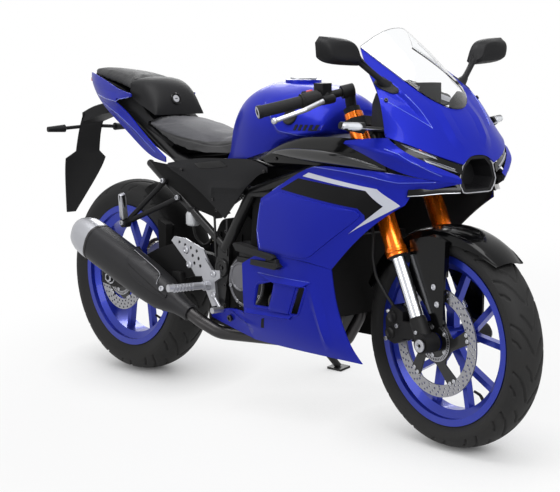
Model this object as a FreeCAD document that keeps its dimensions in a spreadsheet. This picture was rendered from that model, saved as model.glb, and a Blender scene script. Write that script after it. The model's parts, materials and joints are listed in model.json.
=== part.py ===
"""Full-faired sport motorcycle, leaning on its side stand.

Everything is drawn upright in the machine's own frame, in millimetres: +X forward, +Y left, +Z up, with the
rear axle above X = 0. Pieces that steer are drawn straight ahead. Each piece is then turned by the steering
angle where it steers, leaned over to the left until the stand's foot meets the ground, and moved so that the
origin lies under the middle of the whole machine.
"""
import FreeCAD
import Part
import math
import os

from FreeCAD import Placement, Rotation, Vector

PARTS_FOLDER = "parts"
RIGHT = -1
LEFT = 1
BOTH = (RIGHT, LEFT)

# ---------------------------------------------------------------------------------------------------------
# Driving sizes
# ---------------------------------------------------------------------------------------------------------

SIZES = {
    # stance
    "wheelbase": 1380.0, "lean_angle": 10.0, "steer_rest": -4.0,
    "rake_angle": 25.0, "axle_offset": 37.728, "fork_offset": 30.0, "fork_half_track": 95.0,
    # wheels
    "front_tyre_radius": 293.0, "front_tyre_width": 110.0, "front_rim_width": 84.0,
    "rear_tyre_radius": 314.0, "rear_tyre_width": 140.0, "rear_rim_width": 116.0,
    "bead_radius": 216.0, "flange_height": 15.0, "rim_wall": 4.0, "rim_well_depth": 22.0,
    "tyre_seat_gap": 0.3, "spoke_count": 5.0, "spoke_thickness": 22.0, "spoke_width": 19.0,
    "front_axle_radius": 8.0, "front_axle_bore": 4.5, "rear_axle_radius": 9.0, "rear_axle_bore": 5.5,
    "axle_clearance": 0.05, "spacer_gap": 1.0,
    "front_hub_radius": 34.0, "front_hub_length": 119.0, "rear_hub_radius": 42.0, "rear_hub_length": 161.0,
    # brakes
    "front_disc_radius": 149.0, "front_disc_band": 33.0, "disc_thickness": 4.5,
    "rear_disc_radius": 110.0, "rear_disc_band": 34.0, "disc_clearance": 5.0,
    "caliper_wall": 14.0,
    # drive
    "rear_sprocket_radius": 100.0, "sprocket_thickness": 7.0,
    "front_sprocket_radius": 34.0, "front_sprocket_x": 652.0, "front_sprocket_z": 420.0,
    "chain_height": 15.0, "chain_width": 15.0, "chain_gap": 1.2,
    # fork
    "fork_outer_radius": 26.0, "fork_inner_radius": 18.5, "fork_outer_bottom": 552.0, "fork_outer_top": 962.0,
    "fork_inner_bottom": 372.0, "fork_ring_height": 24.0, "fork_ring_wall": 3.0, "fork_foot_radius": 23.0,
    "clamp_height": 28.0, "lower_clamp_level": 770.0, "upper_clamp_level": 915.0, "clamp_wall": 9.0,
    "stem_radius": 15.0, "stem_clearance": 0.08, "head_tube_wall": 9.0, "head_clearance": 5.0,
    # handlebars
    "bar_radius": 11.0, "bar_bore": 8.0, "grip_radius": 16.5, "grip_length": 118.0, "bar_end_radius": 18.0,
    # frame
    "frame_tube_radius": 17.0, "frame_brace_radius": 12.0, "pivot_height": 407.0, "pivot_x": 585.0,
    "pivot_radius": 11.0, "pivot_plate": 16.0,
    "swingarm_wall": 26.0, "swingarm_inner": 102.0, "bobbin_bore": 4.0, "bobbin_depth": 16.0,
    # stand
    "stand_leg_radius": 11.0, "stand_pin_radius": 6.0, "stand_clearance": 0.08, "stand_foot_length": 62.0,
    "stand_foot_width": 42.0, "stand_foot_thickness": 7.0, "stand_x": 560.0, "stand_z": 262.0,
    "stand_y": 158.0, "stand_reach": 300.0, "stand_forward": 70.0,
    # fuel lid
    "filler_x": 786.0, "filler_radius": 52.0, "filler_height": 5.0, "lid_radius": 38.0, "lid_thickness": 6.0,
    "lid_gap": 0.4,
    # bodywork
    "panel_wall": 4.0, "screen_wall": 3.0, "screen_gap": 0.4, "fender_wall": 4.0, "fender_gap": 14.0,
    "fender_half_width": 64.0, "hugger_half_width": 72.0,
    # exhaust
    "pipe_radius": 20.0, "header_radius": 17.0,
    "hose_radius": 4.5,
}

doc = FreeCAD.newDocument("sport_motorcycle")
sheet = doc.addObject("Spreadsheet::Sheet", "sizes")
for row_number, (size_name, size_value) in enumerate(SIZES.items(), start=1):
    sheet.set("A%d" % row_number, size_name)
    sheet.set("B%d" % row_number, str(size_value))
    sheet.setAlias("B%d" % row_number, size_name)
doc.recompute()


def size(name):
    """Read one driving size back from the sheet."""
    return float(sheet.get(name))


WHEELBASE = size("wheelbase")
FRONT_AXLE = Vector(WHEELBASE, 0, size("front_tyre_radius"))
REAR_AXLE = Vector(0, 0, size("rear_tyre_radius"))
RAKE = math.radians(size("rake_angle"))
TRAIL = (size("front_tyre_radius") * math.sin(RAKE) - size("axle_offset")) / math.cos(RAKE)
STEER_FOOT = Vector(WHEELBASE + TRAIL, 0, 0)
STEER_AXIS = Vector(-math.sin(RAKE), 0, math.cos(RAKE))
FORK_NORMAL = Vector(math.cos(RAKE), 0, math.sin(RAKE))

# The tables below are drawn for this wheelbase; from the swingarm's pivot to the steering head the machine
# stretches with the real one, and what lies ahead of the head moves with it
DRAWN_WHEELBASE = 1380.0
DRAWN_HEAD = 1100.0


def station(x):
    """Where a drawn lengthwise place comes to lie."""
    share = (x - size("pivot_x")) / (DRAWN_HEAD - size("pivot_x"))
    return x + min(max(share, 0.0), 1.0) * (WHEELBASE - DRAWN_WHEELBASE)


def at(x, y, z):
    """A drawn point, moved with the wheelbase."""
    return Vector(station(x), y, z)


# ---------------------------------------------------------------------------------------------------------
# Small makers: each returns an object of the document
# ---------------------------------------------------------------------------------------------------------

def bind(thing, prop, value):
    """Set a property, as an expression where a sheet name is given."""
    if isinstance(value, str):
        for name in sorted(SIZES, key=len, reverse=True):
            value = value.replace("{" + name + "}", "sizes." + name)
        thing.setExpression(prop, value)
    else:
        setattr(thing, prop, value)
    return thing


def placed(thing, base, axis=Vector(0, 0, 1)):
    thing.Placement = Placement(base, Rotation(Vector(0, 0, 1), axis))
    return thing


def cylinder(name, radius, height, base, axis=Vector(0, 1, 0)):
    """A round bar from base along axis."""
    thing = doc.addObject("Part::Cylinder", name)
    bind(thing, "Radius", radius)
    bind(thing, "Height", height)
    return placed(thing, base, axis)


def rod(name, radius, start, end):
    """A round bar between two points."""
    return cylinder(name, radius, (end - start).Length, start, end - start)


def cone(name, radius_start, radius_end, start, end):
    thing = doc.addObject("Part::Cone", name)
    bind(thing, "Radius1", radius_start)
    bind(thing, "Radius2", radius_end)
    thing.Height = (end - start).Length
    return placed(thing, start, end - start)


def block(name, low, high):
    """A box between two corners, drawn lengthwise places."""
    low, high = at(*low), at(*high)
    thing = doc.addObject("Part::Box", name)
    thing.Length = high[0] - low[0]
    thing.Width = high[1] - low[1]
    thing.Height = high[2] - low[2]
    thing.Placement.Base = low
    return thing


def polygon(name, points):
    thing = doc.addObject("Part::Polygon", name)
    thing.Nodes = [Vector(*point) for point in points]
    thing.Close = True
    return thing


def plate(name, outline, inner, thickness, side=RIGHT):
    """A flat plate: an outline of (x, z), standing from inner outwards on one side of the machine."""
    base = polygon(name + "_outline", [(x, side * inner, z) for x, z in outline])
    thing = doc.addObject("Part::Extrusion", name)
    thing.Base = base
    thing.DirMode = "Custom"
    thing.Dir = Vector(0, side, 0)
    bind(thing, "LengthFwd", thickness)
    thing.Solid = True
    return thing


def turned(name, profile, centre):
    """A ring or hub about a wheel's axle: profile of (sideways, radius), closed."""
    base = polygon(name + "_profile", [(centre.x, across, centre.z + radius) for across, radius in profile])
    thing = doc.addObject("Part::Revolution", name)
    thing.Source = base
    thing.Base = centre
    thing.Axis = Vector(0, 1, 0)
    thing.Angle = 360
    thing.Solid = True
    return thing


def joined(name, pieces):
    thing = doc.addObject("Part::MultiFuse", name)
    thing.Shapes = pieces
    return thing


def cut(name, base, tool):
    thing = doc.addObject("Part::Cut", name)
    thing.Base = base
    thing.Tool = tool
    return thing


def together(name, pieces):
    thing = doc.addObject("Part::Compound", name)
    thing.Links = pieces
    return thing


def solid_feature(name, shape):
    thing = doc.addObject("Part::Feature", name)
    thing.Shape = shape
    return thing


def solid_from_facets(facets, ends=()):
    """A closed solid from four-cornered facets, each split along its shorter diagonal, and flat end outlines."""
    faces = [Part.Face(Part.makePolygon(list(end) + [end[0]])) for end in ends]
    for first, second, third, fourth in facets:
        if (third - first).Length <= (fourth - second).Length:
            triangles = ((first, second, third), (first, third, fourth))
        else:
            triangles = ((first, second, fourth), (second, third, fourth))
        for triangle in triangles:
            if min((triangle[i] - triangle[i - 1]).Length for i in range(3)) > 1e-6:
                faces.append(Part.Face(Part.makePolygon(list(triangle) + [triangle[0]])))
    shell = Part.makeShell(faces)
    shell.sewShape()
    solid = Part.makeSolid(shell if shell.ShapeType == "Shell" else shell.Shells[0])
    if solid.Volume < 0:
        solid.reverse()
    return solid


def solid_from_rings(rings):
    """A closed solid through rings of as many points each, with flat ends."""
    count = len(rings[0])
    facets = []
    for near, far in zip(rings, rings[1:]):
        for k in range(count):
            facets.append((near[k], near[(k + 1) % count], far[(k + 1) % count], far[k]))
    return solid_from_facets(facets, (rings[0], rings[-1]))


def step_along(line, k):
    """The way from the point before to the point after, or from or to the point itself at an end."""
    before = line[k - 1] if k > 0 and line[k - 1] else line[k]
    after = line[k + 1] if k + 1 < len(line) and line[k + 1] else line[k]
    return after - before


def grid_normals(grid, inside):
    """An outward direction at each point of a grid, away from the point called inside."""
    columns = list(zip(*grid))
    normals = []
    for i, row in enumerate(grid):
        line = []
        for j, point in enumerate(row):
            normal = None
            if point:
                normal = step_along(columns[j], i).cross(step_along(row, j)).normalize()
                if normal.dot(point - inside) < 0:
                    normal = normal.negative()
            line.append(normal)
        normals.append(line)
    return normals


def skin_shape(rows, wall, inside, lift=0.0, side=RIGHT):
    """A shell of one wall thickness under a grid of (x, half width, z) points, open where a point is None."""
    grid = [[point and Vector(point[0], side * point[1], point[2]) for point in row] for row in rows]
    normals = grid_normals(grid, Vector(inside[0], side * inside[1], inside[2]))
    outer, inner = {}, {}
    for i, row in enumerate(grid):
        for j, point in enumerate(row):
            if point:
                outer[i, j] = point + normals[i][j] * lift
                inner[i, j] = outer[i, j] - normals[i][j] * wall
    facets = []
    edges = []
    for i in range(len(grid) - 1):
        for j in range(len(grid[0]) - 1):
            ring = ((i, j), (i, j + 1), (i + 1, j + 1), (i + 1, j))
            if all(corner in outer for corner in ring):
                facets.append([outer[corner] for corner in ring])
                facets.append([inner[corner] for corner in reversed(ring)])
                edges += zip(ring, ring[1:] + ring[:1])
    for start, end in edges:
        if (end, start) not in edges:
            facets.append((outer[start], outer[end], inner[end], inner[start]))
    return solid_from_facets(facets)


def stretched(rows):
    return [[point and (station(point[0]), point[1], point[2]) for point in row] for row in rows]


def across_middle(rows):
    """Rows that start on the centre line, carried on to the other side."""
    return [[(x, -y, z) for x, y, z in reversed(row[1:])] + list(row) for row in rows]


def skin(name, rows, inside, wall="panel_wall", lift=0.0, side=RIGHT):
    return solid_feature(name, skin_shape(stretched(rows), size(wall), at(*inside), lift, side))


def whole_skin(name, rows, inside, wall="panel_wall", lift=0.0):
    """A shell that runs across the middle: the rows start on the centre line."""
    return solid_feature(name, skin_shape(across_middle(stretched(rows)), size(wall), at(*inside), lift, LEFT))


def loft_shape(stations):
    """A solid through closed sections, each (x, half outline of (half width, z) from top to bottom)."""
    rings = []
    for x, half in stations:
        ring = [at(x, y, z) for y, z in half] + [at(x, -y, z) for y, z in reversed(half) if y > 0]
        rings.append(ring)
    return solid_from_rings(rings)


def loft(name, stations):
    return solid_feature(name, loft_shape(stations))


def pipe_shape(points, radius, bend):
    """A round pipe of straight runs joined by tangent arcs."""
    route = [Vector(*point) for point in points]
    edges = []
    start = route[0]
    for before, corner, after in zip(route, route[1:], route[2:]):
        incoming = (corner - before).normalize()
        outgoing = (after - corner).normalize()
        turn = incoming.getAngle(outgoing)
        room = 0.48 * min((corner - before).Length, (after - corner).Length)
        setback = min(bend * math.tan(turn / 2), room)
        first = corner - incoming * setback
        last = corner + outgoing * setback
        middle_way = (outgoing - incoming).normalize()
        true_bend = setback / math.tan(turn / 2)
        middle = corner + middle_way * (true_bend / math.cos(turn / 2) - true_bend)
        edges.append(Part.makeLine(start, first))
        edges.append(Part.Arc(first, middle, last).toShape())
        start = last
    edges.append(Part.makeLine(start, route[-1]))
    path = Part.Wire(edges)
    section = Part.Wire(Part.makeCircle(radius, route[0], route[1] - route[0]))
    return path.makePipeShell([section], True, True)


def pipe(name, points, radius, bend):
    return solid_feature(name, pipe_shape([at(*point) for point in points], radius, bend))


# ---------------------------------------------------------------------------------------------------------
# Wheels
# ---------------------------------------------------------------------------------------------------------

def tyre(name, centre, radius, width, rim_width):
    """A grooveless carcass with open beads that sit just outside the rim's seats."""
    gap = size("tyre_seat_gap")
    seat = size("bead_radius") + gap
    inside_flange = rim_width / 2 - size("rim_wall") - gap
    flange_top = size("bead_radius") + size("flange_height") + gap
    half, tall = width / 2, radius - seat
    outer = [(inside_flange, seat), (inside_flange, flange_top), (half * 0.93, seat + tall * 0.36),
             (half, seat + tall * 0.54), (half * 0.93, seat + tall * 0.72), (half * 0.72, seat + tall * 0.88),
             (half * 0.38, seat + tall * 0.97)]
    inner = [(inside_flange - 13, seat), (inside_flange - 9, seat + tall * 0.22), (half * 0.80, seat + tall * 0.5),
             (half * 0.62, seat + tall * 0.76), (half * 0.3, seat + tall * 0.85)]
    crown = [(0, radius)]
    profile = outer + crown + [(-y, r) for y, r in reversed(outer)]
    profile += [(-y, r) for y, r in inner] + [(y, r) for y, r in reversed(inner)]
    return turned(name, profile, centre)


def rim(name, centre, rim_width, hub_radius, hub_length, bore):
    """A cast rim: a well with two flanges, a hub and forked spokes."""
    wall = size("rim_wall")
    seat = size("bead_radius")
    flange = seat + size("flange_height")
    half = rim_width / 2
    well = seat - size("rim_well_depth")
    outer = [(half, seat - wall), (half, flange), (half - wall, flange), (half - wall, seat),
             (half - wall - 12, seat), (half - wall - 22, well)]
    inner = [(half - wall - 20, well - wall), (half - wall - 10, seat - wall)]
    profile = outer + [(-y, r) for y, r in reversed(outer)] + [(-y, r) for y, r in reversed(inner)] + inner
    barrel = turned(name + "_barrel", profile, centre)
    hub = cylinder(name + "_hub", hub_radius, hub_length, centre - Vector(0, hub_length / 2, 0))
    pieces = [barrel, hub]
    reach = well - wall / 2
    count = int(size("spoke_count"))
    for spoke in range(count):
        heading = 2 * math.pi * spoke / count + math.pi / 2
        pieces += forked_spoke("%s_spoke_%d" % (name, spoke + 1), centre, heading, hub_radius, reach)
    casting = joined(name + "_casting", pieces)
    hole = cylinder(name + "_bore", bore, hub_length + 20, centre - Vector(0, hub_length / 2 + 10, 0))
    return cut(name, casting, hole)


def forked_spoke(name, centre, heading, hub_radius, reach):
    """One stem from the hub that parts into two arms."""
    fork_radius = hub_radius + 34
    spread = math.radians(17)
    pieces = [spoke_bar(name + "_stem", centre, heading, heading, hub_radius - 6, fork_radius + 6, 1.5)]
    for turn in BOTH:
        pieces.append(spoke_bar("%s_arm_%s" % (name, "ab"[turn > 0]), centre, heading, heading + turn * spread,
                                fork_radius, reach, 0.85))
    return pieces


def spoke_bar(name, centre, heading_in, heading_out, radius_in, radius_out, share):
    """A flat bar in the wheel's plane from one radius to another."""
    half_width = size("spoke_width") / 2 * share
    start = Vector(math.cos(heading_in), 0, math.sin(heading_in)) * radius_in
    end = Vector(math.cos(heading_out), 0, math.sin(heading_out)) * radius_out
    along = (end - start).normalize()
    beside = Vector(-along.z, 0, along.x) * half_width
    corners = [start + beside, end + beside, end - beside, start - beside]
    outline = [(centre.x + corner.x, centre.z + corner.z) for corner in corners]
    return plate(name, outline, -size("spoke_thickness") / 2, "{spoke_thickness}", LEFT)


def ring(name, centre, offset, outer, inner, thickness):
    """A flat ring beside a wheel."""
    low, high = offset - thickness / 2, offset + thickness / 2
    return turned(name, [(low, inner), (low, outer), (high, outer), (high, inner)], centre)


def brake_disc(name, centre, offset, radius, band, hub_radius, hub_length, inner_arms):
    """A floating disc: band, carrier with arms, and the flange that bolts to the hub's end."""
    thickness = size("disc_thickness")
    pieces = [ring(name + "_band", centre, offset, radius, radius - band, thickness)]
    inner_radius = hub_radius + 20
    pieces.append(ring(name + "_flange", centre, offset, inner_radius, hub_radius - 12, thickness))
    for arm in range(inner_arms):
        heading = 2 * math.pi * arm / inner_arms
        start = Vector(math.cos(heading), 0, math.sin(heading)) * (inner_radius - 4)
        end = Vector(math.cos(heading + 0.25), 0, math.sin(heading + 0.25)) * (radius - band + 5)
        along = (end - start).normalize()
        beside = Vector(-along.z, 0, along.x) * 8
        corners = [start + beside, end + beside, end - beside, start - beside]
        outline = [(centre.x + corner.x, centre.z + corner.z) for corner in corners]
        bar = plate("%s_arm_%d" % (name, arm + 1), outline, offset - thickness / 2, thickness, LEFT)
        pieces.append(bar)
    return pieces


def disc_offset(hub_length, thickness):
    """Middle of a ring that bolts flat against a hub's end."""
    return size(hub_length) / 2 + size(thickness) / 2


def front_wheel():
    bore = "{front_axle_radius} + {axle_clearance}"
    wheel = rim("front_rim", FRONT_AXLE, size("front_rim_width"), size("front_hub_radius"),
                size("front_hub_length"), bore)
    rubber = tyre("front_tyre", FRONT_AXLE, size("front_tyre_radius"), size("front_tyre_width"),
                  size("front_rim_width"))
    pieces = brake_disc("front_disc", FRONT_AXLE, -disc_offset("front_hub_length", "disc_thickness"),
                        size("front_disc_radius"), size("front_disc_band"), size("front_hub_radius"),
                        size("front_hub_length"), 5)
    return [wheel, rubber, joined("front_disc", pieces)]


def rear_wheel():
    bore = "{rear_axle_radius} + {axle_clearance}"
    wheel = rim("rear_rim", REAR_AXLE, size("rear_rim_width"), size("rear_hub_radius"), size("rear_hub_length"),
                bore)
    rubber = tyre("rear_tyre", REAR_AXLE, size("rear_tyre_radius"), size("rear_tyre_width"),
                  size("rear_rim_width"))
    pieces = brake_disc("rear_disc", REAR_AXLE, -disc_offset("rear_hub_length", "disc_thickness"),
                        size("rear_disc_radius"), size("rear_disc_band"), size("rear_hub_radius"),
                        size("rear_hub_length"), 5)
    offset = disc_offset("rear_hub_length", "sprocket_thickness")
    sprocket = ring("rear_sprocket", REAR_AXLE, offset, size("rear_sprocket_radius"),
                    size("rear_hub_radius") - 12, size("sprocket_thickness"))
    return [wheel, rubber, joined("rear_disc", pieces), sprocket]


# ---------------------------------------------------------------------------------------------------------
# Steering
# ---------------------------------------------------------------------------------------------------------

def fork_point(ahead, across, level):
    """A point by its distance ahead of the steering axis, across, and up along the axis from the ground."""
    return STEER_FOOT + FORK_NORMAL * ahead + Vector(0, across, 0) + STEER_AXIS * level


def axle_level():
    return (FRONT_AXLE - STEER_FOOT).dot(STEER_AXIS)


def beside_axle(*places):
    """An outline of (ahead of, above) the front axle, as (x, z)."""
    return [(FRONT_AXLE.x + ahead, FRONT_AXLE.z + above) for ahead, above in places]


def fork_outers():
    pieces = []
    for side in BOTH:
        across = side * size("fork_half_track")
        bottom = fork_point(size("fork_offset"), across, size("fork_outer_bottom"))
        top = fork_point(size("fork_offset"), across, size("fork_outer_top"))
        collar = bottom + STEER_AXIS * size("fork_ring_height")
        tag = "right" if side == RIGHT else "left"
        tube = rod("fork_outer_tube_" + tag, "{fork_outer_radius}", bottom, top)
        seal = rod("fork_outer_ring_" + tag, "{fork_outer_radius} + {fork_ring_wall}", bottom, collar)
        body = joined("fork_outer_body_" + tag, [tube, seal])
        hole = cylinder("fork_outer_bore_" + tag, "{fork_inner_radius} + {tyre_seat_gap}", 60,
                        bottom - STEER_AXIS, STEER_AXIS)
        pieces.append(cut("fork_outer_" + tag, body, hole))
    return together("fork_outers", pieces)


def fork_inners():
    pieces = []
    for side in BOTH:
        across = side * size("fork_half_track")
        bottom = fork_point(size("fork_offset"), across, size("fork_inner_bottom"))
        top = fork_point(size("fork_offset"), across, size("fork_outer_bottom") + 58)
        pieces.append(rod("fork_inner_%d" % (side + 1), "{fork_inner_radius}", bottom, top))
    return together("fork_inners", pieces)


def fork_feet():
    """Axle holders under the chrome tubes, with the hollow axle between them."""
    solids = []
    half = size("fork_half_track")
    for side in BOTH:
        tag = "right" if side == RIGHT else "left"
        low = fork_point(size("fork_offset"), side * half, axle_level() + 4)
        high = fork_point(size("fork_offset"), side * half, size("fork_inner_bottom"))
        solids.append(rod("fork_foot_" + tag, "{fork_foot_radius}", low, high))
        boss_start = half - size("fork_foot_radius")
        solids.append(cylinder("fork_boss_" + tag, "{fork_foot_radius} + 3", "{fork_foot_radius} * 2 + 2",
                               FRONT_AXLE + Vector(0, side * boss_start, 0), Vector(0, side, 0)))
        spacer_start = size("front_hub_length") / 2 + size("disc_thickness") + size("spacer_gap")
        solids.append(cylinder("axle_spacer_" + tag, 13, boss_start + 4 - spacer_start,
                               FRONT_AXLE + Vector(0, side * spacer_start, 0), Vector(0, side, 0)))
    span = half + size("fork_foot_radius") + 8
    solids.append(cylinder("front_axle_bar", "{front_axle_radius}", 2 * span, FRONT_AXLE - Vector(0, span, 0)))
    lug = beside_axle((-96, 46), (-30, 46), (-12, 8), (-96, -2))
    solids.append(plate("caliper_lug", lug, half - 8, 12))
    body = joined("fork_feet_body", solids)
    hole = cylinder("front_axle_hole", "{front_axle_bore}", 2 * span + 20, FRONT_AXLE - Vector(0, span + 10, 0))
    return cut("fork_feet", body, hole)


def clamp_plate(name, level, bore):
    """One fork bridge: a plate across both tubes, square to the steering axis."""
    half = size("fork_half_track")
    reach = size("fork_outer_radius") + size("clamp_wall")
    outline = [(-24, -26), (-24, 26), (6, half * 0.8), (size("fork_offset") - 8, half + reach),
               (size("fork_offset") + 20, half + reach - 4), (size("fork_offset") + reach, half - 4),
               (size("fork_offset") + 12, 22), (size("fork_offset") + 12, -22),
               (size("fork_offset") + reach, 4 - half), (size("fork_offset") + 20, 4 - half - reach),
               (size("fork_offset") - 8, -half - reach), (6, -half * 0.8)]
    base = polygon(name + "_outline", [fork_point(ahead, across, level) for ahead, across in outline])
    slab = doc.addObject("Part::Extrusion", name + "_slab")
    slab.Base = base
    slab.DirMode = "Custom"
    slab.Dir = STEER_AXIS
    bind(slab, "LengthFwd", "{clamp_height}")
    slab.Solid = True
    holes = [rod("%s_hole_%d" % (name, side + 1), bore,
                 fork_point(size("fork_offset"), side * half, level - 5),
                 fork_point(size("fork_offset"), side * half, level + size("clamp_height") + 5)) for side in BOTH]
    return cut(name, slab, joined(name + "_holes", holes))


def triple_clamps():
    bore = "{fork_outer_radius} + {tyre_seat_gap}"
    lower = clamp_plate("lower_clamp", size("lower_clamp_level"), bore)
    upper = clamp_plate("upper_clamp", size("upper_clamp_level"), bore)
    stem = rod("steering_stem", "{stem_radius}", fork_point(0, 0, size("lower_clamp_level")),
               fork_point(0, 0, size("upper_clamp_level") + size("clamp_height") + 10))
    return joined("triple_clamps", [lower, upper, stem])


BAR_ROOT = at(1100, 112, 948)
BAR_END = at(DRAWN_HEAD, 350, 898) - Vector(98, 0, 0)


def bar_point(side, along):
    """A point on a handlebar, measured from its root towards its end."""
    way = (BAR_END - BAR_ROOT).normalize()
    point = BAR_ROOT + way * along
    return Vector(point.x, side * point.y, point.z)


def handlebars():
    pieces = []
    length = (BAR_END - BAR_ROOT).Length
    for side in BOTH:
        tag = "right" if side == RIGHT else "left"
        bar = rod("bar_tube_" + tag, "{bar_radius}", bar_point(side, -8), bar_point(side, length))
        low = fork_point(size("fork_offset"), side * size("fork_half_track"),
                         size("fork_outer_top") + size("screen_gap"))
        base = rod("bar_base_" + tag, "{fork_outer_radius} - 3", low, low + STEER_AXIS * 16)
        riser = rod("bar_riser_" + tag, "{bar_radius} + 4", low + STEER_AXIS * 12, bar_point(side, 0))
        head = rod("bar_head_" + tag, "{bar_radius} + 7", bar_point(side, -12), bar_point(side, 22))
        weight = rod("bar_weight_" + tag, "{bar_end_radius}", bar_point(side, length - 12),
                     bar_point(side, length))
        body = joined("bar_body_" + tag, [bar, base, riser, head, weight])
        hole = rod("bar_hole_" + tag, "{bar_bore}", bar_point(side, length - 60), bar_point(side, length + 5))
        pieces.append(cut("bar_" + tag, body, hole))
    return together("handlebars", pieces)


def hand_grips():
    pieces = []
    length = (BAR_END - BAR_ROOT).Length
    for side in BOTH:
        tag = "right" if side == RIGHT else "left"
        start = bar_point(side, length - 12.4 - size("grip_length"))
        end = bar_point(side, length - 12.4)
        body = rod("grip_body_" + tag, "{grip_radius}", start, end)
        flange = rod("grip_flange_" + tag, "{grip_radius} + 5", start, start + (end - start).normalize() * 6)
        whole = joined("grip_whole_" + tag, [body, flange])
        hole = rod("grip_hole_" + tag, "{bar_radius} + {tyre_seat_gap}", start - (end - start) * 0.1, end * 1.0)
        hole.Height = (end - start).Length * 1.2
        pieces.append(cut("grip_" + tag, whole, hole))
    return together("hand_grips", pieces)


RESERVOIR = (38, 32, 35)


def hand_controls():
    """Switch housings and lever perches; the right one carries the fluid reservoir."""
    pieces = []
    length = (BAR_END - BAR_ROOT).Length
    inner_end = length - 12.4 - size("grip_length") - 0.4
    for side in BOTH:
        tag = "right" if side == RIGHT else "left"
        housing = rod("switch_body_" + tag, "{grip_radius} + 6", bar_point(side, inner_end - 42),
                      bar_point(side, inner_end))
        perch_at = bar_point(side, inner_end - 52)
        perch = rod("perch_body_" + tag, "{grip_radius} + 1", bar_point(side, inner_end - 66),
                    bar_point(side, inner_end - 41))
        arm_end = perch_at + Vector(34, side * 6, -8)
        arm = rod("perch_arm_" + tag, 10, perch_at + Vector(10, 0, -3), arm_end)
        solids = [housing, perch, arm]
        if side == RIGHT:
            solids.append(rod("master_cylinder", 12, arm_end + Vector(-6, 22, 4), arm_end + Vector(-2, -18, 0)))
            solids.append(rod("reservoir_stem", 9, arm_end + Vector(-16, 12, -2), arm_end + Vector(-26, 14, 20)))
            reservoir = block("fluid_reservoir", (0, 0, 0), RESERVOIR)
            reservoir.Placement.Base = arm_end + Vector(-55, -4, 10)
            solids.append(reservoir)
        whole = joined("control_whole_" + tag, solids)
        hole = rod("control_hole_" + tag, "{bar_radius} + {tyre_seat_gap}", bar_point(side, inner_end - 90),
                   bar_point(side, inner_end + 20))
        pieces.append(cut("control_" + tag, whole, hole))
    return together("hand_controls", pieces)


def hand_levers():
    pieces = []
    length = (BAR_END - BAR_ROOT).Length
    inner_end = length - 12.4 - size("grip_length") - 0.4
    for side in BOTH:
        tag = "right" if side == RIGHT else "left"
        root = bar_point(side, inner_end - 52) + Vector(34, side * 6, -8)
        start = root + Vector(2, side * (18.8 if side == RIGHT else 9.8), -1)
        knee = at(1104, side * 268, 904)
        tip = at(DRAWN_HEAD, side * 346, 878) - Vector(30, 0, 0)
        solids = [rod("lever_arm_" + tag, 7, start, knee), rod("lever_blade_" + tag, 6.5, knee, tip)]
        ball = doc.addObject("Part::Sphere", "lever_ball_" + tag)
        ball.Radius = 9
        ball.Placement.Base = tip
        knuckle = doc.addObject("Part::Sphere", "lever_knee_" + tag)
        knuckle.Radius = 7
        knuckle.Placement.Base = knee
        pieces.append(joined("lever_" + tag, solids + [ball, knuckle]))
    return together("hand_levers", pieces)


# Front mudguard: heading round the wheel in degrees, share of the full half width, skirt's drop below the crown
FENDER_STATIONS = (
    (47, 0.74, 8), (58, 0.94, 20), (72, 1.0, 36), (90, 1.0, 44), (108, 1.0, 48), (126, 1.0, 50), (142, 1.0, 46),
    (156, 1.0, 34),
)


def front_fender():
    crown = size("front_tyre_radius") + size("fender_gap") + size("fender_wall")
    rows = []
    for heading, share, drop in FENDER_STATIONS:
        turn = math.radians(heading)
        half = size("fender_half_width") * share
        row = []
        for across, fall in ((0.0, 0.0), (0.55, 3.0), (0.88, 10.0), (1.0, drop)):
            reach = crown - fall
            row.append((FRONT_AXLE.x + reach * math.cos(turn), half * across, FRONT_AXLE.z + reach * math.sin(turn)))
        rows.append(row)
    guard = solid_feature("fender_guard", skin_shape(across_middle(rows), size("fender_wall"), FRONT_AXLE, 0.0, LEFT))
    outline = beside_axle((-80, 212), (25, 247), (44, 177), (38, 49), (20, 41), (2, 47), (-24, 95), (-78, 143),
                          (-94, 177))
    top = crown - 48
    shoulder = beside_axle((-84, top), (0, top + 24), (50, top + 10), (44, 177), (22, 169), (-58, 165), (-80, 197))
    outer = size("fork_half_track") - size("fork_inner_radius") - size("tyre_seat_gap")
    inner = size("front_hub_length") / 2 + size("disc_thickness") + size("disc_clearance")
    skirt = size("fender_half_width") - size("fender_wall")
    stays = []
    for side in BOTH:
        stays.append(plate("fender_stay_%d" % (side + 1), outline, inner, outer - inner, side))
        stays.append(plate("fender_shoulder_%d" % (side + 1), shoulder, skirt, outer - skirt, side))
    return joined("front_fender", [guard] + stays)


def front_caliper():
    """Straddles the disc behind the right fork leg."""
    centre_offset = disc_offset("front_hub_length", "disc_thickness")
    slot = size("disc_thickness") / 2 + size("disc_clearance")
    radius = size("front_disc_radius")
    outline = beside_axle((-96.4, 70), (-96.4, -8), (-130, -22), (-radius - 14, -12), (-radius - 16, 46),
                          (-136, 84))
    wall = size("caliper_wall")
    body = plate("caliper_body", outline, centre_offset - slot - wall, 2 * slot + 2 * wall + 10)
    gap = ring("caliper_slot", FRONT_AXLE, -centre_offset, radius + size("disc_clearance"), 60, 2 * slot)
    return cut("front_caliper", body, gap)


# Brake hose, from the front axle: ahead, across, above
HOSE_ROUTE = ((-140, -80, 73), (-172, -84, 107), (-202, -92, 152), (-208, -98, 207), (-200, -101, 262),
              (-212, -100, 317), (-236, -97, 367), (-258, -94, 407))


def brake_hose():
    """From the caliper up behind the leg to the lower fork bridge."""
    route = [Vector(FRONT_AXLE.x + ahead, across, FRONT_AXLE.z + above) for ahead, across, above in HOSE_ROUTE]
    return solid_feature("brake_hose", pipe_shape(route, size("hose_radius"), 60))


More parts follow.
